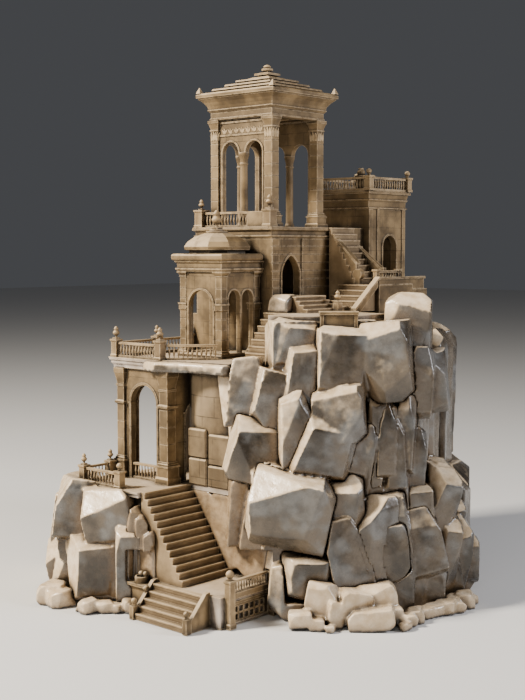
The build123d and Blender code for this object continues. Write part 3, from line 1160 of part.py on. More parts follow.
# Rock never enters the buildings, the stairs or the air that players use above them.
air = [
    block(-21, 50.5, -125, -43.4, -1, ENTRY_TOP + 26),
    block(-36.9, 12, -90, -43, -1, 200),
    block(-101.4, -36, -94.4, -5, LOWER_FLOOR - 4.1, 166),
    block(-37, -35.9, -94, -43, LOWER_FLOOR - 4.1, 200),
    block(-103.6, -96, -92, -5, LOWER_FLOOR, 166),
    block(-40, -20, -103, -91.8, SHELF_TOP, 44),
]
upper_air = [
    prism([(-103, -64), (-49, -64), (-30, -52), (10, -46), (13, -16), (13, 25.1), (-103, 25.1)],
        CORE_MIDDLE_TOP - 0.2, 420),
    block(-104, -8, 24.9, 130, CORE_UPPER_TOP, 420),
    prism(PLATFORM_PLAN[:6] + [(69, 62), (41, 66), (41, 161), (-60, 161), (-60, 17)], CORE_UPPER_TOP, 420),
    block(-64, 2, 128, 192, CORE_UPPER_TOP, 420),
]
cores = [board, core_lower, core_middle, core_upper]
bench_room = Location((bench_x, bench_y, 198.2), (0, 0, FACE_TURN)) * Pos(0, 0, 7.8) * Box(28, 11, 15.6)
fittings = [
    *cores, *air, *upper_air, retaining, bench_room, *parts["cut_blocks"], fountain_shelf, statue, landing,
    block(-101, 14, -94, -5, CORE_LOWER_TOP, LOWER_FLOOR) & parts["lower_terrace_floor"],
    block(NEWEL_X - 3.3, NEWEL_X + 3.3, -87.3, -80.7, 0, 40),
    block(NEWEL_X - 3.3, NEWEL_X + 3.3, -42.9, -36.3, 0, 38),
    block(LANDING_RIGHT_X - 2.8, LANDING_RIGHT_X + 1.6, VENT_FRONT_Y, VENT_BACK_Y, 0, 33),
    block(-98, -12.1, qy0, 27.9, UPPER_FLOOR, CORE_UPPER_TOP),
]
CRUMB = 150.0
CRUMB_SHARE = 0.05


def in_reach(shape, others):
    """Those of others whose boxes meet the box of the shape."""
    a = shape.bounding_box(optimal=False)
    found = []
    for other in others:
        b = other.bounding_box(optimal=False)
        apart_x = a.min.X > b.max.X or b.min.X > a.max.X
        apart_y = a.min.Y > b.max.Y or b.min.Y > a.max.Y
        apart_z = a.min.Z > b.max.Z or b.min.Z > a.max.Z
        if not (apart_x or apart_y or apart_z):
            found.append(other)
    return found


def castings(rocks, taken):
    """Cuts each rock to fit the fittings and the rocks already in place, which it joins.
    Crumbs left by the cuts are dropped."""
    made = []
    for rock in rocks:
        mass = rock
        for tool in in_reach(mass, [*fittings, *taken, *made]):
            mass = mass - tool
            if not mass.solids():
                break
        made += [piece for piece in mass.solids() if piece.volume > max(CRUMB, rock.volume * CRUMB_SHARE)]
    return made


ground = block(-400, 400, -400, 400, -100, 0)
fittings.append(ground)
order = [
    ("boulders", hewn_set(BOULDERS, 400)),
    ("lower_rocks", hewn_set(LOWER_ROCKS, 420)),
    ("crag_stones", hewn_set(CRAG_STONES, 500)),
    ("upper_rocks", hewn_set(UPPER_ROCKS, 440)),
    ("crag_shards", hewn_set(SHARDS, 460)),
    ("east_rocks", hewn_set(EAST_ROCKS, 480)),
    ("west_rocks", hewn_set(WEST_ROCKS, 520)),
    ("crag_flutes", hewn_set(DRAPES, 540) + flutes),
    ("upper_backing", upper_backing + filler_upper),
    ("lower_backing", lower_backing),
    ("east_shards", east_shards + filler_middle),
    ("east_backing", east_upper + east_lower + filler_lower),
    ("west_backing", west_crag + west_lower),
    ("west_cliff", west_upper + west_middle),
    ("north_foot", north_lower),
    ("north_cliff", north_upper),
]
placed = []
for name, rocks in order:
    parts[name] = castings(rocks, placed)
    placed += parts[name]
court_boulder = boulder(*bearing(-1, 24), 206, 223.5, 19, 15, 46, turn=-38, blunt=0.9)
parts["court_boulder"] = court_boulder - [podium, platform, court, door_flight, terrace_flight, core_upper]

# A rounded ledge of rock carries the terrace rail where the cut stone ends.
LEDGE = [(-62, -63.4), (-48, -66), (-30, -58), (-10, -53), (8, -52), (11, -44), (-30, -49), (-50, -58),
    (-62, -58)]
ledge = prism(LEDGE, CORE_MIDDLE_TOP, UPPER_FLOOR - 0.6)
ledge = chamfer(ledge.edges().group_by(Axis.Z)[-1], 1.6)
parts["terrace_ledge"] = ledge - [parts["upper_terrace_slab"], *parts["upper_terrace_posts"], retaining,
    *placed]

# Loose stones lie at the foot of the crag.
scree_rows = {
    "scree_front": [
        (62, -86, 12), (26, -84, 11), (99, -86, 12), (97, -95, 8), (106, -76, 13), (114, -68, 11),
        (46, -100, 6),
    ],
    "scree_east": [
        (122, -62, 12), (131, -56, 14), (138, -54, 11), (136, -44, 13), (146, -40, 15), (152, -34, 9),
    ],
    "scree_west": [
        (-92, -54, 14), (-104, -54, 9), (-112, -54, 11), (-124, -54, 13), (-133, -48, 11),
        (-146, -38, 17), (-154, -28, 20),
        (-158, -14, 12),
    ],
}
stones_placed = [board, core_lower, landing, *newels, entry_flight, fountain_shelf, left_cheek, right_cheek]
for name, stones in scree_rows.items():
    pile = [cobble(right, back, size, 300 + i) for i, (right, back, size) in enumerate(stones)]
    mass = fused(pile) - block(-400, 400, -400, 400, -100, 0)
    for tool in in_reach(mass, [*placed, *stones_placed]):
        mass = mass - tool
    parts[name] = [stone for stone in mass.solids() if stone.volume > 100]
    stones_placed += parts[name]

# Castings of one kind that come off the sprue together share one name.
SETS = {
    "entry_cheek_walls": ["entry_cheek_left", "entry_cheek_right"],
    "lower_terrace_balustrade": [
        "lower_terrace_balustrade", "lower_terrace_side_balustrade", "lower_terrace_posts",
        "loggia_balustrade",
    ],
    "loggia_columns": ["loggia_column_left", "loggia_column_right"],
    "loggia_arcades": ["loggia_arcade_front", "loggia_arcade_side", "loggia_arcade_west"],
    "upper_terrace_balustrade": [
        "upper_terrace_balustrade_front", "upper_terrace_balustrade_diagonal",
        "upper_terrace_balustrade_west",
        "upper_terrace_posts",
    ],
    "urns": ["lower_terrace_urns", "upper_terrace_urns", "tower_urns", "platform_urn"],
    "pavilion_walls": ["pavilion_wall_front", "pavilion_wall_east", "pavilion_wall_west"],
    "tower_balustrade": ["tower_balustrade", "tower_balustrade_posts"],
    "tower_piers": ["tower_pier_front", "tower_pier_left", "tower_pier_right", "tower_pier_back"],
    "tower_screens": ["tower_screen_front", "tower_screen_west", "tower_screen_north"],
    "tower_roof_finials": ["tower_roof_finial", "tower_roof_horns"],
    "house_balustrade": ["house_balustrade", "house_posts", "house_finials"],
    "upper_landing": ["upper_landing", "rear_court", "east_court"],
    "door_steps": ["door_court", "door_stairs"],
    "stair_parapets": [
        "upper_stair_parapet_left", "upper_stair_parapet_right", "middle_stair_parapet", "east_parapet",
        "landing_balustrade",
    ],
    "crag_boulders": ["boulders", "court_boulder"],
    "crag_upper": ["upper_rocks", "upper_backing"],
    "crag_lower": ["lower_rocks", "lower_backing"],
    "crag_east": ["east_rocks", "east_shards", "east_backing"],
    "crag_west": ["west_rocks", "west_backing", "west_cliff"],
    "crag_north": ["north_foot", "north_cliff"],
    "scree_stones": ["crag_stones", "scree_front", "scree_east", "scree_west"],
}


def loose(shape):
    """Every separate solid of a shape, or of a list of shapes."""
    pieces = shape if isinstance(shape, list) else [shape]
    return [solid for piece in pieces for solid in piece.solids()]


solids = {name: loose(shape) for name, shape in parts.items()}
for name, members in SETS.items():
    together = [solid for member in members for solid in solids.pop(member)]
    solids[name] = together

# The origin goes to the middle of the footprint, which the rocks and the entry stairs bound.
OUTERMOST = ("crag_west", "crag_east", "crag_north", "crag_lower", "scree_stones", "entry_stairs",
    "entry_cheek_walls")
boxes = [solid.bounding_box() for name in OUTERMOST for solid in solids[name]]
middle_x = (min(box.min.X for box in boxes) + max(box.max.X for box in boxes)) / 2
middle_y = (min(box.min.Y for box in boxes) + max(box.max.Y for box in boxes)) / 2
shift = Pos(-middle_x, -middle_y, 0)

os.makedirs("parts", exist_ok=True)
for name, group in solids.items():
    export_step(Compound(children=[shift * solid for solid in group]), f"parts/{name}.step")
print("shift", tuple(shift.position), "nodes", len(solids))
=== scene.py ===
import json
import math

import bmesh
import bpy
import numpy as np
from mathutils import Matrix, Vector

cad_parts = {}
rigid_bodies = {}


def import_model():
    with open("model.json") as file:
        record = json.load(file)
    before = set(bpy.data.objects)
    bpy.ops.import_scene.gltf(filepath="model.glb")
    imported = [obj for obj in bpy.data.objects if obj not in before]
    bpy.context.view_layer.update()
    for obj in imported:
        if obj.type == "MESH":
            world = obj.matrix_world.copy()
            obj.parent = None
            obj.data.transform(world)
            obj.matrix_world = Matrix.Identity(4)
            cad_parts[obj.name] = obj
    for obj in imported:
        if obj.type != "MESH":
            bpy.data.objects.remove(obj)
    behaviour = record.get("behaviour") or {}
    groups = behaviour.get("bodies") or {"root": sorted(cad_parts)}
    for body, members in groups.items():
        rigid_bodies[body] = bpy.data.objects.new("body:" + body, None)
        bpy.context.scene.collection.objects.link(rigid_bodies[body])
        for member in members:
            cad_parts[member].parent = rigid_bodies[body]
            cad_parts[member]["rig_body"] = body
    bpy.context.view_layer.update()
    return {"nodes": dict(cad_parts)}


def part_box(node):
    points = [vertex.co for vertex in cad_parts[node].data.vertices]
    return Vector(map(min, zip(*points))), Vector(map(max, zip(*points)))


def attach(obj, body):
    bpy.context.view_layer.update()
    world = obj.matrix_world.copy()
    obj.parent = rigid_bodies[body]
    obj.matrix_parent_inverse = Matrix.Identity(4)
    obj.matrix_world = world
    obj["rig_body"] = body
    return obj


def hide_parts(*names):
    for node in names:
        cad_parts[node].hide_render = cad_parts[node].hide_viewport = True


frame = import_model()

MM = 0.001

# ---- places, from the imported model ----
tower_low, tower_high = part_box("tower_piers")
TOWER_MID = (tower_low + tower_high) / 2
FACE_TURN = math.radians(42)         # the show face looks between -Y and +X
VIEW_BACK = Vector((math.sin(FACE_TURN), -math.cos(FACE_TURN), 0))
VIEW_RIGHT = Vector((math.cos(FACE_TURN), math.sin(FACE_TURN), 0))

# ---- camera, lamps and floor; metres ----
LENS_MM = 62.35
FILM_MM = 36.0
CAMERA_HEIGHT = 0.2581
CAMERA_DISTANCE = 0.9831             # from the tower's axis, measured level
CAMERA_LEFT = 0.0038                 # of the tower's axis
CAMERA_PITCH = math.radians(4.774)   # downwards
LAMP_AIM = 0.18                      # the height every lamp is aimed at
LAMPS = [                            # name, right, out, up, watts, side, colour
    ("key", -1.20, 0.50, 1.20, 64, 0.28, (1.0, 0.92, 0.80)),
    ("rim", 1.25, 0.45, 0.75, 17.0, 0.4, (0.95, 0.95, 1.0)),
    ("fill", -0.2, 1.35, 0.55, 3.5, 0.8, (1.0, 0.96, 0.90)),
]
SKY_COLOUR, SKY_STRENGTH = (0.90, 0.93, 1.0, 1), 0.07
FLOOR_HALF = 6.0
FLOOR_DROP = 0.0005                  # below the model's foot
FLOOR_COLOUR = (0.74, 0.73, 0.71, 1)


# ======================= camera, light and floor =======================


def add_camera():
    """Stands in front of the show face, a little to the tower's left, and looks slightly down."""
    data = bpy.data.cameras.new("camera")
    data.sensor_fit = "VERTICAL"
    data.sensor_height = FILM_MM
    data.lens = LENS_MM
    data.clip_start, data.clip_end = 0.01, 20.0
    camera = bpy.data.objects.new("camera", data)
    bpy.context.scene.collection.objects.link(camera)
    stand = Vector((TOWER_MID.x, TOWER_MID.y, CAMERA_HEIGHT))
    camera.location = stand + VIEW_BACK * CAMERA_DISTANCE - VIEW_RIGHT * CAMERA_LEFT
    aim = -VIEW_BACK * math.cos(CAMERA_PITCH) + Vector((0, 0, -math.sin(CAMERA_PITCH)))
    camera.rotation_euler = aim.to_track_quat("-Z", "Y").to_euler()
    bpy.context.scene.camera = camera


def add_lamp(name, right, out, up, watts, side, colour):
    """A soft square lamp, placed in the show face's own directions and aimed at the crag."""
    data = bpy.data.lights.new(name, "AREA")
    data.energy, data.size, data.color = watts, side, colour
    lamp = bpy.data.objects.new(name, data)
    lamp.location = VIEW_RIGHT * right + VIEW_BACK * out + Vector((0, 0, up))
    aim = Vector((0, 0, LAMP_AIM)) - lamp.location
    lamp.rotation_euler = aim.to_track_quat("-Z", "Y").to_euler()
    bpy.context.scene.collection.objects.link(lamp)


def add_studio():
    """A dim even sky, three soft lamps and a plain pale floor."""
    world = bpy.data.worlds.new("studio")
    bpy.context.scene.world = world
    world.use_nodes = True
    background = world.node_tree.nodes["Background"]
    background.inputs["Color"].default_value = SKY_COLOUR
    background.inputs["Strength"].default_value = SKY_STRENGTH
    for lamp in LAMPS:
        add_lamp(*lamp)

    floor = bpy.data.objects.new("floor", bpy.data.meshes.new("floor"))
    shape = bmesh.new()
    bmesh.ops.create_grid(shape, x_segments=1, y_segments=1, size=FLOOR_HALF)
    shape.to_mesh(floor.data)
    shape.free()
    bpy.context.scene.collection.objects.link(floor)
    paint = bpy.data.materials.new("floor_pale")
    paint.use_nodes = True
    coat = paint.node_tree.nodes["Principled BSDF"]
    coat.inputs["Base Color"].default_value = FLOOR_COLOUR
    coat.inputs["Roughness"].default_value = 0.85
    floor.data.materials.append(paint)
    floor.location.z = -FLOOR_DROP


# ======================= materials =======================

SHADE_SAMPLES = 6                    # of one ambient occlusion node
# The way the painted highlight faces: up and towards the key lamp.
HIGHLIGHT_WAY = (-VIEW_RIGHT * 0.62 + Vector((0, 0, 0.78)) + VIEW_BACK * 0.1).normalized()

LIGHT_STONE = (0.25, 0.168, 0.080)
MID_STONE = (0.085, 0.054, 0.023)
DARK_STONE = (0.012, 0.008, 0.004)
WORN_AND_LIT_STONE = (0.62, 0.475, 0.30)     # pale: where the dry brush has caught the edges, and the painted highlight on faces turned to the key lamp

WARM_GREYS = (0.030, 0.023, 0.015), (0.120, 0.094, 0.066)
# blue patches of painted sheen on the rock sides
BLUE_SHEEN_GREYS = (0.085, 0.090, 0.093), (0.200, 0.208, 0.210)
# cream and brown of the painted highlight on faces turned up and towards the key lamp
PALE_TOPS = (0.64, 0.475, 0.285), (0.86, 0.69, 0.485)
BROWN_TOPS = (0.26, 0.175, 0.095), (0.44, 0.315, 0.19)
CONTACT_SHADE = (0.150, 0.094, 0.046)  # painted shade, brown, where rocks come close
SEAM_SHADOW = (0.010, 0.006, 0.003)     # painted shadow, near black, where rocks meet
# painted shade in the crevices
CREVICE_SHADE = (0.055, 0.034, 0.018)
# pale dry brush on ridges, which is also a painted highlight
RIDGE_HIGHLIGHT = (0.84, 0.70, 0.52)


class Paint:
    """A procedural paint under construction: short calls that add and join nodes."""

    def __init__(self, name, roughness, specular):
        self.material = bpy.data.materials.new(name)
        self.material.use_nodes = True
        self.tree = self.material.node_tree
        self.coat = self.tree.nodes["Principled BSDF"]
        self.coat.inputs["Roughness"].default_value = roughness
        self.coat.inputs["Specular IOR Level"].default_value = specular
        self.place = self.tree.nodes.new("ShaderNodeTexCoord").outputs["Object"]
        self.geometry = self.tree.nodes.new("ShaderNodeNewGeometry")

    def add(self, kind, **inputs):
        """A new node; each input is named after its socket, with _ for a space."""
        node = self.tree.nodes.new(kind)
        for name, value in inputs.items():
            self.feed(node, name.replace("_", " "), value)
        return node

    def feed(self, node, name, value):
        """Joins or sets one socket, given by its name or by its number as text."""
        socket = node.inputs[int(name)] if name.isdigit() else node.inputs[name]
        if isinstance(value, bpy.types.NodeSocket):
            self.tree.links.new(value, socket)
        else:
            socket.default_value = value

    def maths(self, operation, first, second=0.0):
        node = self.tree.nodes.new("ShaderNodeMath")
        node.operation = operation
        self.feed(node, "0", first)
        self.feed(node, "1", second)
        return node.outputs[0]

    def ramp(self, value, low, high, start=0.0, end=1.0):
        """A soft step from start to end as the value goes from low to high."""
        node = self.tree.nodes.new("ShaderNodeMapRange")
        node.interpolation_type = "SMOOTHSTEP"
        self.feed(node, "Value", value)
        for name, number in (("From Min", low), ("From Max", high), ("To Min", start), ("To Max", end)):
            self.feed(node, name, number)
        return node.outputs[0]

    def mix(self, share, first, second):
        """The first colour, with the given share of the second laid over it."""
        node = self.tree.nodes.new("ShaderNodeMix")
        node.data_type = "RGBA"
        node.clamp_factor = True
        self.feed(node, "0", share)
        for socket, value in ((node.inputs[6], first), (node.inputs[7], second)):
            if isinstance(value, bpy.types.NodeSocket):
                self.tree.links.new(value, socket)
            else:
                socket.default_value = (*value, 1)
        return node.outputs[2]

    def noise(self, size_mm, detail=4.0, roughness=0.55, stretch=(1, 1, 1)):
        """Cloudy noise, 0 to 1, whose main blobs are about size_mm across."""
        spot = self.place
        if stretch != (1, 1, 1):
            node = self.tree.nodes.new("ShaderNodeVectorMath")
            node.operation = "MULTIPLY"
            self.tree.links.new(self.place, node.inputs[0])
            node.inputs[1].default_value = stretch
            spot = node.outputs[0]
        cloud = self.add(
            "ShaderNodeTexNoise", Vector=spot, Scale=1000.0 / size_mm, Detail=detail, Roughness=roughness
        )
        return cloud.outputs["Fac"]

    def upward(self):
        """How far the surface looks up and towards the key side, from -1 to 1."""
        node = self.tree.nodes.new("ShaderNodeVectorMath")
        node.operation = "DOT_PRODUCT"
        self.tree.links.new(self.geometry.outputs["Normal"], node.inputs[0])
        node.inputs[1].default_value = HIGHLIGHT_WAY
        return node.outputs["Value"]

    def shade(self, distance_mm, inside=False):
        """Ambient occlusion: 1 in the open, lower in hollows; inside, lower near outer edges."""
        node = self.tree.nodes.new("ShaderNodeAmbientOcclusion")
        node.samples, node.inside, node.only_local = SHADE_SAMPLES, inside, inside
        node.inputs["Distance"].default_value = distance_mm * MM
        return node.outputs["AO"]

    def bump(self, height, strength, distance_mm, under=None):
        node = self.add("ShaderNodeBump", Height=height, Strength=strength, Distance=distance_mm * MM)
        if under is not None:
            self.tree.links.new(under, node.inputs["Normal"])
        return node.outputs["Normal"]

    def finish(self, colour, normal, roughness):
        self.tree.links.new(colour, self.coat.inputs["Base Color"])
        self.tree.links.new(normal, self.coat.inputs["Normal"])
        self.tree.links.new(roughness, self.coat.inputs["Roughness"])
        return self.material


def wall_plane(paint):
    """Coordinates along a wall: level run, height, 0. Walls look along X or Y."""
    split = paint.add("ShaderNodeSeparateXYZ", Vector=paint.geometry.outputs["True Normal"])
    spot = paint.add("ShaderNodeSeparateXYZ", Vector=paint.place)
    faces_x = paint.maths("GREATER_THAN", paint.maths("ABSOLUTE", split.outputs["X"]), 0.7)
    along = paint.add("ShaderNodeMix", Factor=faces_x, A=spot.outputs["X"], B=spot.outputs["Y"])
    return paint.add("ShaderNodeCombineXYZ", X=along.outputs[0], Y=spot.outputs["Z"]).outputs[0]


def stone_joints(paint, course_mm, length_mm, joint_mm):
    """The mask of mortar joints in courses of dressed blocks: 1 in a joint."""
    bricks = paint.add(
        "ShaderNodeTexBrick", Vector=wall_plane(paint), Scale=1.0, Mortar_Size=joint_mm * MM,
        Mortar_Smooth=0.4, Brick_Width=length_mm * MM, Row_Height=course_mm * MM,
    )
    return bricks.outputs["Fac"]


def limestone(name, light=LIGHT_STONE, mid=MID_STONE, dark=DARK_STONE, courses=None):
    """Painted limestone: a tan body with random dirt and streaks, painted shade in the hollows, a painted
    highlight on faces turned up and towards the key lamp, and a pale dry brush on the edges that is also a
    painted edge highlight. Courses are the height and length of a dressed block and the width of a joint."""
    paint = Paint(name, 0.62, 0.3)
    body = paint.mix(paint.ramp(paint.noise(22, 5), 0.35, 0.68), mid, light)
    # painted highlight: faces turned up and towards the key lamp are lightened
    lit_side = paint.ramp(paint.upward(), 0.40, 0.95, 0.0, 0.85)
    body = paint.mix(lit_side, body, WORN_AND_LIT_STONE)
    streaks = paint.ramp(paint.noise(7, 4, stretch=(1, 1, 0.16)), 0.50, 0.78, 0.0, 0.45)
    body = paint.mix(streaks, body, mid)
    # painted shade: darker where ambient occlusion finds hollows, plus random dirt
    hollows = paint.ramp(paint.shade(8.0), 0.96, 0.34)
    grime_and_shade = paint.maths("ADD", hollows, paint.maths("MULTIPLY", paint.noise(3, 5), 0.35))
    body = paint.mix(paint.ramp(grime_and_shade, 0.14, 0.90, 0.0, 0.95), body, dark)
    # pale dry brush on outer edges, which is also a painted edge highlight
    edges = paint.ramp(paint.shade(0.9, inside=True), 0.97, 0.72)
    dry_brush_highlight = paint.maths("MULTIPLY", edges, paint.ramp(paint.noise(4, 3), 0.30, 0.58))
    body = paint.mix(paint.maths("MULTIPLY", dry_brush_highlight, 0.44), body, WORN_AND_LIT_STONE)
    normal = paint.bump(paint.noise(1.6, 6, 0.62), 0.35, 0.25)
    normal = paint.bump(paint.noise(9, 3), 0.30, 0.9, under=normal)
    if courses:
        joints = stone_joints(paint, *courses)
        worn = paint.maths("MULTIPLY", joints, paint.ramp(paint.noise(12, 3), 0.40, 0.62, 0.12, 0.60))
        body = paint.mix(worn, body, dark)
        normal = paint.bump(paint.maths("SUBTRACT", 1.0, worn), 0.6, 0.3, under=normal)
    return paint.finish(body, normal, paint.ramp(paint.noise(5, 3), 0.3, 0.7, 0.5, 0.72))


def rock_paint(name, sheen_share=0.5, bare=0.0, tops=PALE_TOPS):
    """Painted rock: grey sides with random blue patches of painted sheen, a cream painted highlight on
    faces turned up and towards the key lamp, painted shade in the crevices and where rocks come close, a
    near black painted shadow where they meet, and a pale dry brush on the ridges that is also a painted
    highlight. The bare share of the sides is left as pale as the tops."""
    paint = Paint(name, 0.42, 0.62)
    crevice = paint.add("ShaderNodeAttribute")
    crevice.attribute_name = "crevice"
    ridge = paint.add("ShaderNodeAttribute")
    ridge.attribute_name = "ridge"
    grey = paint.mix(paint.ramp(paint.noise(30, 4), 0.35, 0.65), *WARM_GREYS)
    # painted sheen: random blue-grey patches on the sides
    blue = paint.mix(paint.ramp(paint.noise(9, 3), 0.3, 0.7), *BLUE_SHEEN_GREYS)
    side = paint.mix(paint.maths("MULTIPLY", paint.ramp(paint.noise(36, 3), 0.46, 0.60), sheen_share), grey, blue)
    # painted highlight: cream on faces turned up and towards the key lamp
    cream = paint.mix(paint.ramp(paint.noise(7, 5), 0.3, 0.7), *tops)
    drift = paint.maths("MULTIPLY", paint.maths("SUBTRACT", paint.noise(16, 5), 0.5), 0.45)
    lit_side = paint.ramp(paint.maths("ADD", paint.upward(), drift), 0.26, 0.56)
    body = paint.mix(paint.maths("MAXIMUM", lit_side, bare), side, cream)
    # painted shade: brown where other rocks come close
    nearby = paint.ramp(paint.shade(11.0), 0.92, 0.42)
    contact_shade_mask = paint.maths("ADD", nearby, paint.maths("MULTIPLY", drift, 0.6))
    body = paint.mix(paint.ramp(contact_shade_mask, 0.10, 0.70, 0.0, 0.70), body, CONTACT_SHADE)
    # painted shadow: near black where rocks meet
    seam_shadow_mask = paint.ramp(paint.shade(5.0), 0.86, 0.42, 0.0, 1.0)
    body = paint.mix(seam_shadow_mask, body, SEAM_SHADOW)
    # painted shade: darker in the crevices
    crevice_shade_mask = paint.ramp(crevice.outputs["Fac"], 0.15, 0.85)
    body = paint.mix(paint.maths("MULTIPLY", crevice_shade_mask, 0.9), body, CREVICE_SHADE)
    # painted highlight: pale dry brush on the ridges
    raised = paint.ramp(ridge.outputs["Fac"], 0.35, 1.0)
    ridge_highlight_mask = paint.maths("MULTIPLY", raised, paint.ramp(paint.noise(5, 4), 0.25, 0.6))
    body = paint.mix(paint.maths("MULTIPLY", ridge_highlight_mask, 0.60), body, RIDGE_HIGHLIGHT)
    normal = paint.bump(paint.noise(1.3, 6, 0.65), 0.25, 0.22)
    normal = paint.bump(paint.noise(8, 5, 0.6), 0.35, 1.0, under=normal)
    return paint.finish(body, normal, paint.ramp(paint.noise(6, 4), 0.3, 0.7, 0.19, 0.36))


# ======================= rock sculpting =======================

BREAK_DEPTHS = 0.78, 0.93            # of the way from a rock's middle to its corner
VOXEL = 1.0 * MM                     # of the even rock meshes
SMOOTH_ROUNDS = 2
BROAD_ROUNDS = 9                     # of averaging, for a rock's shape without its edges
DEEPEST_HOLLOW = 1.2 * MM
FULL_MASK = 0.8 * MM                 # of hollow or bulge, where a mask reaches 1
LUMPS = [(13, 0, 0.55), (6, 1, 0.30), (2.6, 2, 0.13)]     # size in mm, seed step, share


def islands(mesh):
    """Splits a mesh into its separate shells: a list of points and a list of faces for each."""
    shape = bmesh.new()
    shape.from_mesh(mesh)
    bmesh.ops.remove_doubles(shape, verts=shape.verts, dist=1e-6)
    shape.verts.ensure_lookup_table()
    seen = set()
    shells = []
    for start in shape.verts:
        if start.index in seen:
            continue
        seen.add(start.index)
        stack, members = [start], []
        while stack:
            vert = stack.pop()
            members.append(vert)
            for edge in vert.link_edges:
                other = edge.other_vert(vert)
                if other.index not in seen:
                    seen.add(other.index)
                    stack.append(other)
        number = {vert.index: i for i, vert in enumerate(members)}
        faces = {face for vert in members for face in vert.link_faces}
        rows = [[number[v.index] for v in face.verts] for face in sorted(faces, key=lambda f: f.index)]
        shells.append(([tuple(v.co) for v in members], rows))
    shape.free()
    return shells


def broken(points, faces, seed, breaks):
    """Knocks corners off one shell with a few flat breaks; a shell that tears is left whole."""
    draw = np.random.default_rng(seed)
    shape = bmesh.new()
    corners = [shape.verts.new(point) for point in points]
    for row in faces:
        shape.faces.new([corners[number] for number in row])
    middle = Vector(np.mean(points, axis=0))
    for _ in range(breaks):
        way = Vector(draw.normal(size=3)).normalized()
        reach = max((vert.co - middle).dot(way) for vert in shape.verts)
        spot = middle + way * reach * draw.uniform(*BREAK_DEPTHS)
        everything = [*shape.verts, *shape.edges, *shape.faces]
        cut = bmesh.ops.bisect_plane(
            shape, geom=everything, dist=1e-7, plane_co=spot, plane_no=way, clear_outer=True
        )["geom_cut"]
        rim = [item for item in cut if isinstance(item, bmesh.types.BMEdge)]
        bmesh.ops.holes_fill(shape, edges=rim, sides=0)
    if len(shape.faces) > 3 and all(len(edge.link_faces) == 2 for edge in shape.edges):
        shape.verts.index_update()
        points = [tuple(vert.co) for vert in shape.verts]
        faces = [[vert.index for vert in face.verts] for face in shape.faces]
    shape.free()
    return points, faces


def remeshed(points, faces):
    """An even, smoothed mesh of one shell."""
    mesh = bpy.data.meshes.new("shell")
    mesh.from_pydata(points, [], faces)
    holder = bpy.data.objects.new("shell", mesh)
    bpy.context.scene.collection.objects.link(holder)
    net = holder.modifiers.new("net", "REMESH")
    net.mode, net.voxel_size = "VOXEL", VOXEL
    soft = holder.modifiers.new("soft", "SMOOTH")
    soft.factor, soft.iterations = 0.5, SMOOTH_ROUNDS
    graph = bpy.context.evaluated_depsgraph_get()
    result = bpy.data.meshes.new_from_object(holder.evaluated_get(graph))
    bpy.data.objects.remove(holder)
    bpy.data.meshes.remove(mesh)
    return result


def coordinates(mesh):
    """A mesh's points, one row each."""
    points = np.empty(len(mesh.vertices) * 3, np.float32)
    mesh.vertices.foreach_get("co", points)
    return points.reshape(-1, 3).astype(float)


def move_points(mesh, points):
    mesh.vertices.foreach_set("co", points.astype(np.float32).ravel())
    mesh.update()


def mesh_edges(mesh):
    """The two point numbers of every edge."""
    pairs = np.empty(len(mesh.edges) * 2, np.int32)
    mesh.edges.foreach_get("vertices", pairs)
    return pairs.reshape(-1, 2)


def relaxed(values, pairs, rounds):
    """Values averaged with their neighbours along mesh edges, several times over."""
    count = np.bincount(pairs.ravel(), minlength=len(values)).clip(1)
    flat = values if values.ndim > 1 else values[:, None]
    for _ in range(rounds):
        total = np.empty_like(flat)
        for axis in range(flat.shape[1]):
            total[:, axis] = np.bincount(pairs[:, 0], flat[pairs[:, 1], axis], len(flat))
            total[:, axis] += np.bincount(pairs[:, 1], flat[pairs[:, 0], axis], len(flat))
        flat = 0.5 * flat + 0.5 * total / count[:, None]
    return flat if values.ndim > 1 else flat[:, 0]


def lattice_noise(points, size_mm, seed):
    """Smooth value noise from -1 to 1, with lumps about size_mm across."""
    spot = points / (size_mm * MM)
    cell = np.floor(spot).astype(np.int64)
    part = spot - cell
    part = part * part * (3 - 2 * part)
    result = np.zeros(len(points))
    for corner in range(8):
        step = np.array([(corner >> axis) & 1 for axis in range(3)])
        at = cell + step
        key = (at[:, 0] * 73856093) ^ (at[:, 1] * 19349663) ^ (at[:, 2] * 83492791) ^ (seed * 2654435761)
        key = (key ^ (key >> 13)) * 1274126177
        value = ((key ^ (key >> 16)) & 0xFFFF) / 32767.5 - 1
        weight = np.prod(np.where(step == 1, part, 1 - part), axis=1)
        result += value * weight
    return result


def vertex_normals(mesh):
    normals = np.empty(len(mesh.vertices) * 3, np.float32)
    mesh.vertex_normals.foreach_get("vector", normals)
    return normals.reshape(-1, 3).astype(float)


def sculpt(mesh, seed, rough_mm):
    """Weathers an even rock mesh: deeper crevices, soft lumps, chipped grain. The masks of
    crevice and ridge are kept for the paint: painted shade in the crevices, painted highlight on the
    ridges."""
    pairs = mesh_edges(mesh)
    points = coordinates(mesh)
    normals = vertex_normals(mesh)
    broad = relaxed(points, pairs, BROAD_ROUNDS)
    bulge = np.einsum("ij,ij->i", points - broad, normals)
    hollow = np.clip(-bulge, 0, DEEPEST_HOLLOW)
    lumps = sum(lattice_noise(points, size, seed + step) * share for size, step, share in LUMPS)
    move = -hollow * 0.9 + lumps * rough_mm * MM
    points = points + normals * move[:, None]
    points[:, 2] = np.maximum(points[:, 2], 0.0)
    move_points(mesh, points)
    for name, value in (("crevice", -bulge), ("ridge", bulge)):
        mask = relaxed(np.clip(value / FULL_MASK, 0, 1), pairs, 2)
        layer = mesh.attributes.new(name, "FLOAT", "POINT")
        layer.data.foreach_set("value", mask.astype(np.float32))


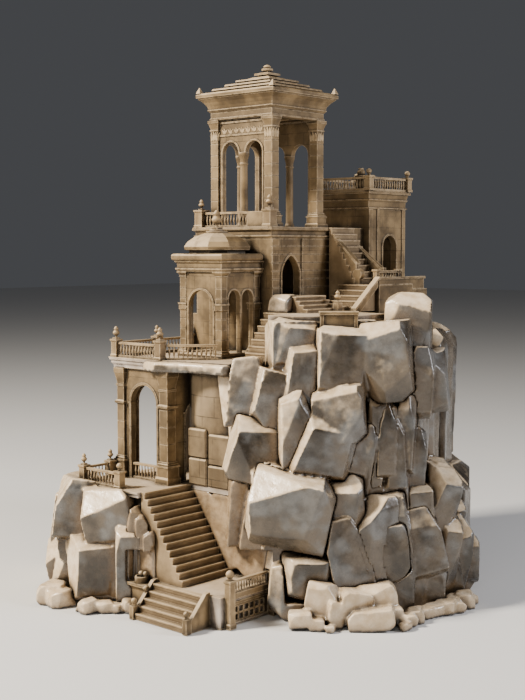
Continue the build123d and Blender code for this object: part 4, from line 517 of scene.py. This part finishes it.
def join_meshes(name, meshes):
    """One mesh object from several meshes, with their masks kept."""
    objects = []
    for mesh in meshes:
        piece = bpy.data.objects.new(name, mesh)
        bpy.context.scene.collection.objects.link(piece)
        objects.append(piece)
    if len(objects) > 1:
        with bpy.context.temp_override(
            active_object=objects[0], object=objects[0],
            selected_objects=objects, selected_editable_objects=objects,
        ):
            bpy.ops.object.join()
    objects[0].name = name
    return objects[0]


def clamp_to(mesh, low, high):
    """Keeps every point of a rock within its casting's own box."""
    move_points(mesh, np.clip(coordinates(mesh), np.array(low), np.array(high)))


def sculpted_rock(node, paint, rough_mm, breaks):
    """Carves the rocks of one CAD node, shell by shell, and shows them in the node's place."""
    low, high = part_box(node)
    meshes = []
    for number, (points, faces) in enumerate(islands(frame["nodes"][node].data)):
        if len(points) < 4:
            continue
        seed = sum(map(ord, node)) + number * 17
        mesh = remeshed(*broken(points, faces, seed, breaks))
        if not len(mesh.vertices):
            continue
        sculpt(mesh, seed, rough_mm)
        clamp_to(mesh, low, high)
        meshes.append(mesh)
    piece = join_meshes(node + "_carved", meshes)
    piece.data.materials.clear()
    piece.data.materials.append(paint)
    piece.data.shade_smooth()
    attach(piece, frame["nodes"][node]["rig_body"])
    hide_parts(node)


# ======================= architecture =======================

WELD = 0.01 * MM
SHARP = math.radians(32)             # edges sharper than this are softened
SOFT_EDGE_MM = 0.28
FINE_EDGE_MM = 0.15                  # of balusters, urns and finials
WORN_EDGE_MM = 0.6


def dress(node, paint, edge_mm=SOFT_EDGE_MM):
    """Gives a CAD node its paint and the softened edges of a cast."""
    piece = frame["nodes"][node]
    piece.data.materials.clear()
    piece.data.materials.append(paint)
    weld = piece.modifiers.new("weld", "WELD")
    weld.merge_threshold = WELD
    bevel = piece.modifiers.new("edges", "BEVEL")
    bevel.width, bevel.segments, bevel.limit_method = edge_mm * MM, 2, "ANGLE"
    bevel.angle_limit = SHARP


# ======================= carved ornament =======================

LEAF_ROWS, LEAF_COLUMNS = 7, 5
SIDE_LEAF = 2.7, 6.6, 1.3            # wide, tall and out from the wall, in mm
MIDDLE_LEAF = 2.7, 7.4, 1.3
FAN_LEAF = 1.8, 4.6, 0.75
FAN_TILTS = -0.65, 0.0, 0.65
LEAF_PITCH = 2.5 * MM
PALMETTE_PITCH = 6.2 * MM
LEAF_BACK = 0.15 * MM                # how deep a leaf is let into its wall

def leaf_points(wide_mm, tall_mm, out_mm):
    """The front of one carved leaf, standing on z = 0 against a wall at y = 0 and facing -Y:
    pinched at its foot, full at its middle, with a raised rib and a tip that curls outward."""
    rows = []
    for i in range(LEAF_ROWS):
        t = i / (LEAF_ROWS - 1)
        half = 0.5 * wide_mm * (0.35 + 0.65 * math.sin(math.pi * (0.15 + 0.80 * t)))
        row = []
        for j in range(LEAF_COLUMNS):
            u = 2 * j / (LEAF_COLUMNS - 1) - 1
            relief = out_mm * (0.25 + 0.75 * t * t) * (1 - 0.55 * abs(u))
            row.append(Vector((u * half, -relief, t * tall_mm * (1 - 0.10 * u * u))) * MM)
        rows.append(row)
    return rows


def add_leaf(shape, place, turn, tilt, wide_mm, tall_mm, out_mm):
    """Adds one closed leaf to a bmesh, its flat back let a little way into the wall."""
    spin = Matrix.Translation(place) @ Matrix.Rotation(turn, 4, "Z") @ Matrix.Rotation(tilt, 4, "Y")
    front, back = [], []
    for row in leaf_points(wide_mm, tall_mm, out_mm):
        front.append([shape.verts.new(spin @ spot) for spot in row])
        back.append([shape.verts.new(spin @ Vector((spot.x, LEAF_BACK, spot.z))) for spot in row])
    for i in range(LEAF_ROWS - 1):
        for j in range(LEAF_COLUMNS - 1):
            shape.faces.new((front[i][j], front[i][j + 1], front[i + 1][j + 1], front[i + 1][j]))
            shape.faces.new((back[i][j], back[i + 1][j], back[i + 1][j + 1], back[i][j + 1]))
    rim = [(0, j) for j in range(LEAF_COLUMNS)]
    rim += [(i, LEAF_COLUMNS - 1) for i in range(1, LEAF_ROWS)]
    rim += [(LEAF_ROWS - 1, j) for j in range(LEAF_COLUMNS - 2, -1, -1)]
    rim += [(i, 0) for i in range(LEAF_ROWS - 2, 0, -1)]
    for (i, j), (k, m) in zip(rim, rim[1:] + rim[:1]):
        shape.faces.new((front[i][j], back[i][j], back[k][m], front[k][m]))


def ornament(name, leaves, host, paint):
    """One piece of carving from many leaves, riding with the casting it belongs to."""
    shape = bmesh.new()
    for leaf in leaves:
        add_leaf(shape, *leaf)
    bmesh.ops.recalc_face_normals(shape, faces=shape.faces)
    mesh = bpy.data.meshes.new(name)
    shape.to_mesh(mesh)
    shape.free()
    piece = bpy.data.objects.new(name, mesh)
    bpy.context.scene.collection.objects.link(piece)
    mesh.materials.append(paint)
    mesh.shade_smooth()
    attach(piece, frame["nodes"][host]["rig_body"])


def capital_leaves(low, high, pier_side, shaft_half, foot):
    """Three leaves on each side of the four tower piers, just below their caps."""
    leaves = []
    inset = pier_side / 2
    for x in (low.x + inset, high.x - inset):
        for y in (low.y + inset, high.y - inset):
            for side in range(4):
                turn = side * math.pi / 2
                outward = Vector((math.sin(turn), -math.cos(turn), 0))
                along = Vector((math.cos(turn), math.sin(turn), 0))
                for step in (-1, 0, 1):
                    place = Vector((x, y, foot)) + outward * shaft_half + along * step * LEAF_PITCH
                    leaves.append((place, turn, 0.0, *(SIDE_LEAF if step else MIDDLE_LEAF)))
    return leaves


def palmettes(start, end, turn, foot):
    """A frieze of palmettes, each a fan of three leaves, from start to end along a wall."""
    run = end - start
    number = round(run.length / PALMETTE_PITCH)
    leaves = []
    for i in range(number):
        place = start + run * ((i + 0.5) / number)
        for tilt in FAN_TILTS:
            leaves.append((Vector((place.x, place.y, foot)), turn, tilt, *FAN_LEAF))
    return leaves


# ======================= the model =======================

add_camera()
add_studio()

warm = limestone("limestone_plain")
ashlar = limestone("limestone_ashlar", courses=(9.5, 17.0, 0.28))
rubble = limestone(
    "limestone_old", light=(0.20, 0.140, 0.075), mid=(0.085, 0.056, 0.028), courses=(15.0, 24.0, 0.5)
)
paving = limestone("limestone_paving", light=(0.52, 0.45, 0.39), mid=(0.27, 0.21, 0.155))
carved = limestone("limestone_carved", light=(0.36, 0.255, 0.135), mid=(0.150, 0.098, 0.048))
undercoat = limestone("undercoat_brown", light=(0.085, 0.056, 0.030), mid=(0.050, 0.033, 0.018))
rock = rock_paint("rock_front")
pale_rock = rock_paint("rock_pale", sheen_share=0.2, bare=0.62)
brown_rock = rock_paint("rock_brown", sheen_share=0.15, bare=0.35, tops=BROWN_TOPS)
steps = limestone(
    "limestone_steps", light=(0.38, 0.27, 0.15), mid=(0.19, 0.13, 0.068), dark=(0.075, 0.047, 0.022)
)

ROCKS = {                            # paint, roughness in mm, corner breaks
    "crag_boulders": (rock, 0.42, 9),
    "crag_upper": (rock, 0.42, 9),
    "crag_lower": (rock, 0.42, 9),
    "crag_shards": (rock, 0.42, 9),
    "crag_east": (rock, 0.42, 9),
    "crag_west": (rock, 0.42, 2),
    "crag_north": (rock, 0.42, 2),
    "crag_flutes": (brown_rock, 0.8, 6),
    "terrace_ledge": (rock, 0.42, 0),
    "scree_stones": (pale_rock, 0.42, 5),
}
PAVED = ["entry_landing", "lower_terrace_floor", "platform_paving", "upper_terrace_slab"]
COURSED = [
    "podium_walls", "house_walls", "pavilion_walls", "upper_landing", "tower_screens", "loggia_arcades",
]
ROUGH = ["retaining_wall", "cut_blocks"]
HIDDEN = ["base_board", "core_lower", "core_middle", "core_upper"]

for node in frame["nodes"]:
    if node in ROCKS:
        sculpted_rock(node, *ROCKS[node])
    elif node in PAVED:
        dress(node, paving)
    elif node in COURSED:
        dress(node, ashlar)
    elif node in ROUGH:
        dress(node, rubble, WORN_EDGE_MM)
    elif node in HIDDEN:
        dress(node, undercoat)
    elif "stairs" in node or "steps" in node:
        dress(node, steps)
    elif "balustrade" in node or "urns" in node or "finial" in node:
        dress(node, carved, FINE_EDGE_MM)
    else:
        dress(node, warm)

# ---- carving on the tower ----
PIER_SIDE = 13.2 * MM                # of a pier's plinth and cap
SHAFT_HALF = 4.0 * MM
BAND_OUT = 0.8 * MM                  # of the screens' bands, out from the wall
FRIEZE_FOOT = tower_high.z - 11.4 * MM
CAPITAL_FOOT = tower_high.z - 16.2 * MM
screen_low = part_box("tower_screens")[0]
wall_x, wall_y = screen_low.x + BAND_OUT, screen_low.y + BAND_OUT
leaves = capital_leaves(tower_low, tower_high, PIER_SIDE, SHAFT_HALF, CAPITAL_FOOT)
ornament("tower_capital_leaves", leaves, "tower_piers", carved)
pier_inset = Vector((PIER_SIDE, PIER_SIDE, 0))
frieze_low, frieze_high = tower_low + pier_inset, tower_high - pier_inset
front_frieze = palmettes(
    Vector((frieze_low.x, wall_y, 0)), Vector((frieze_high.x, wall_y, 0)), 0.0, FRIEZE_FOOT
)
west_frieze = palmettes(
    Vector((wall_x, frieze_low.y, 0)), Vector((wall_x, frieze_high.y, 0)), -math.pi / 2, FRIEZE_FOOT
)
ornament("tower_frieze_palmettes", front_frieze + west_frieze, "tower_screens", carved)
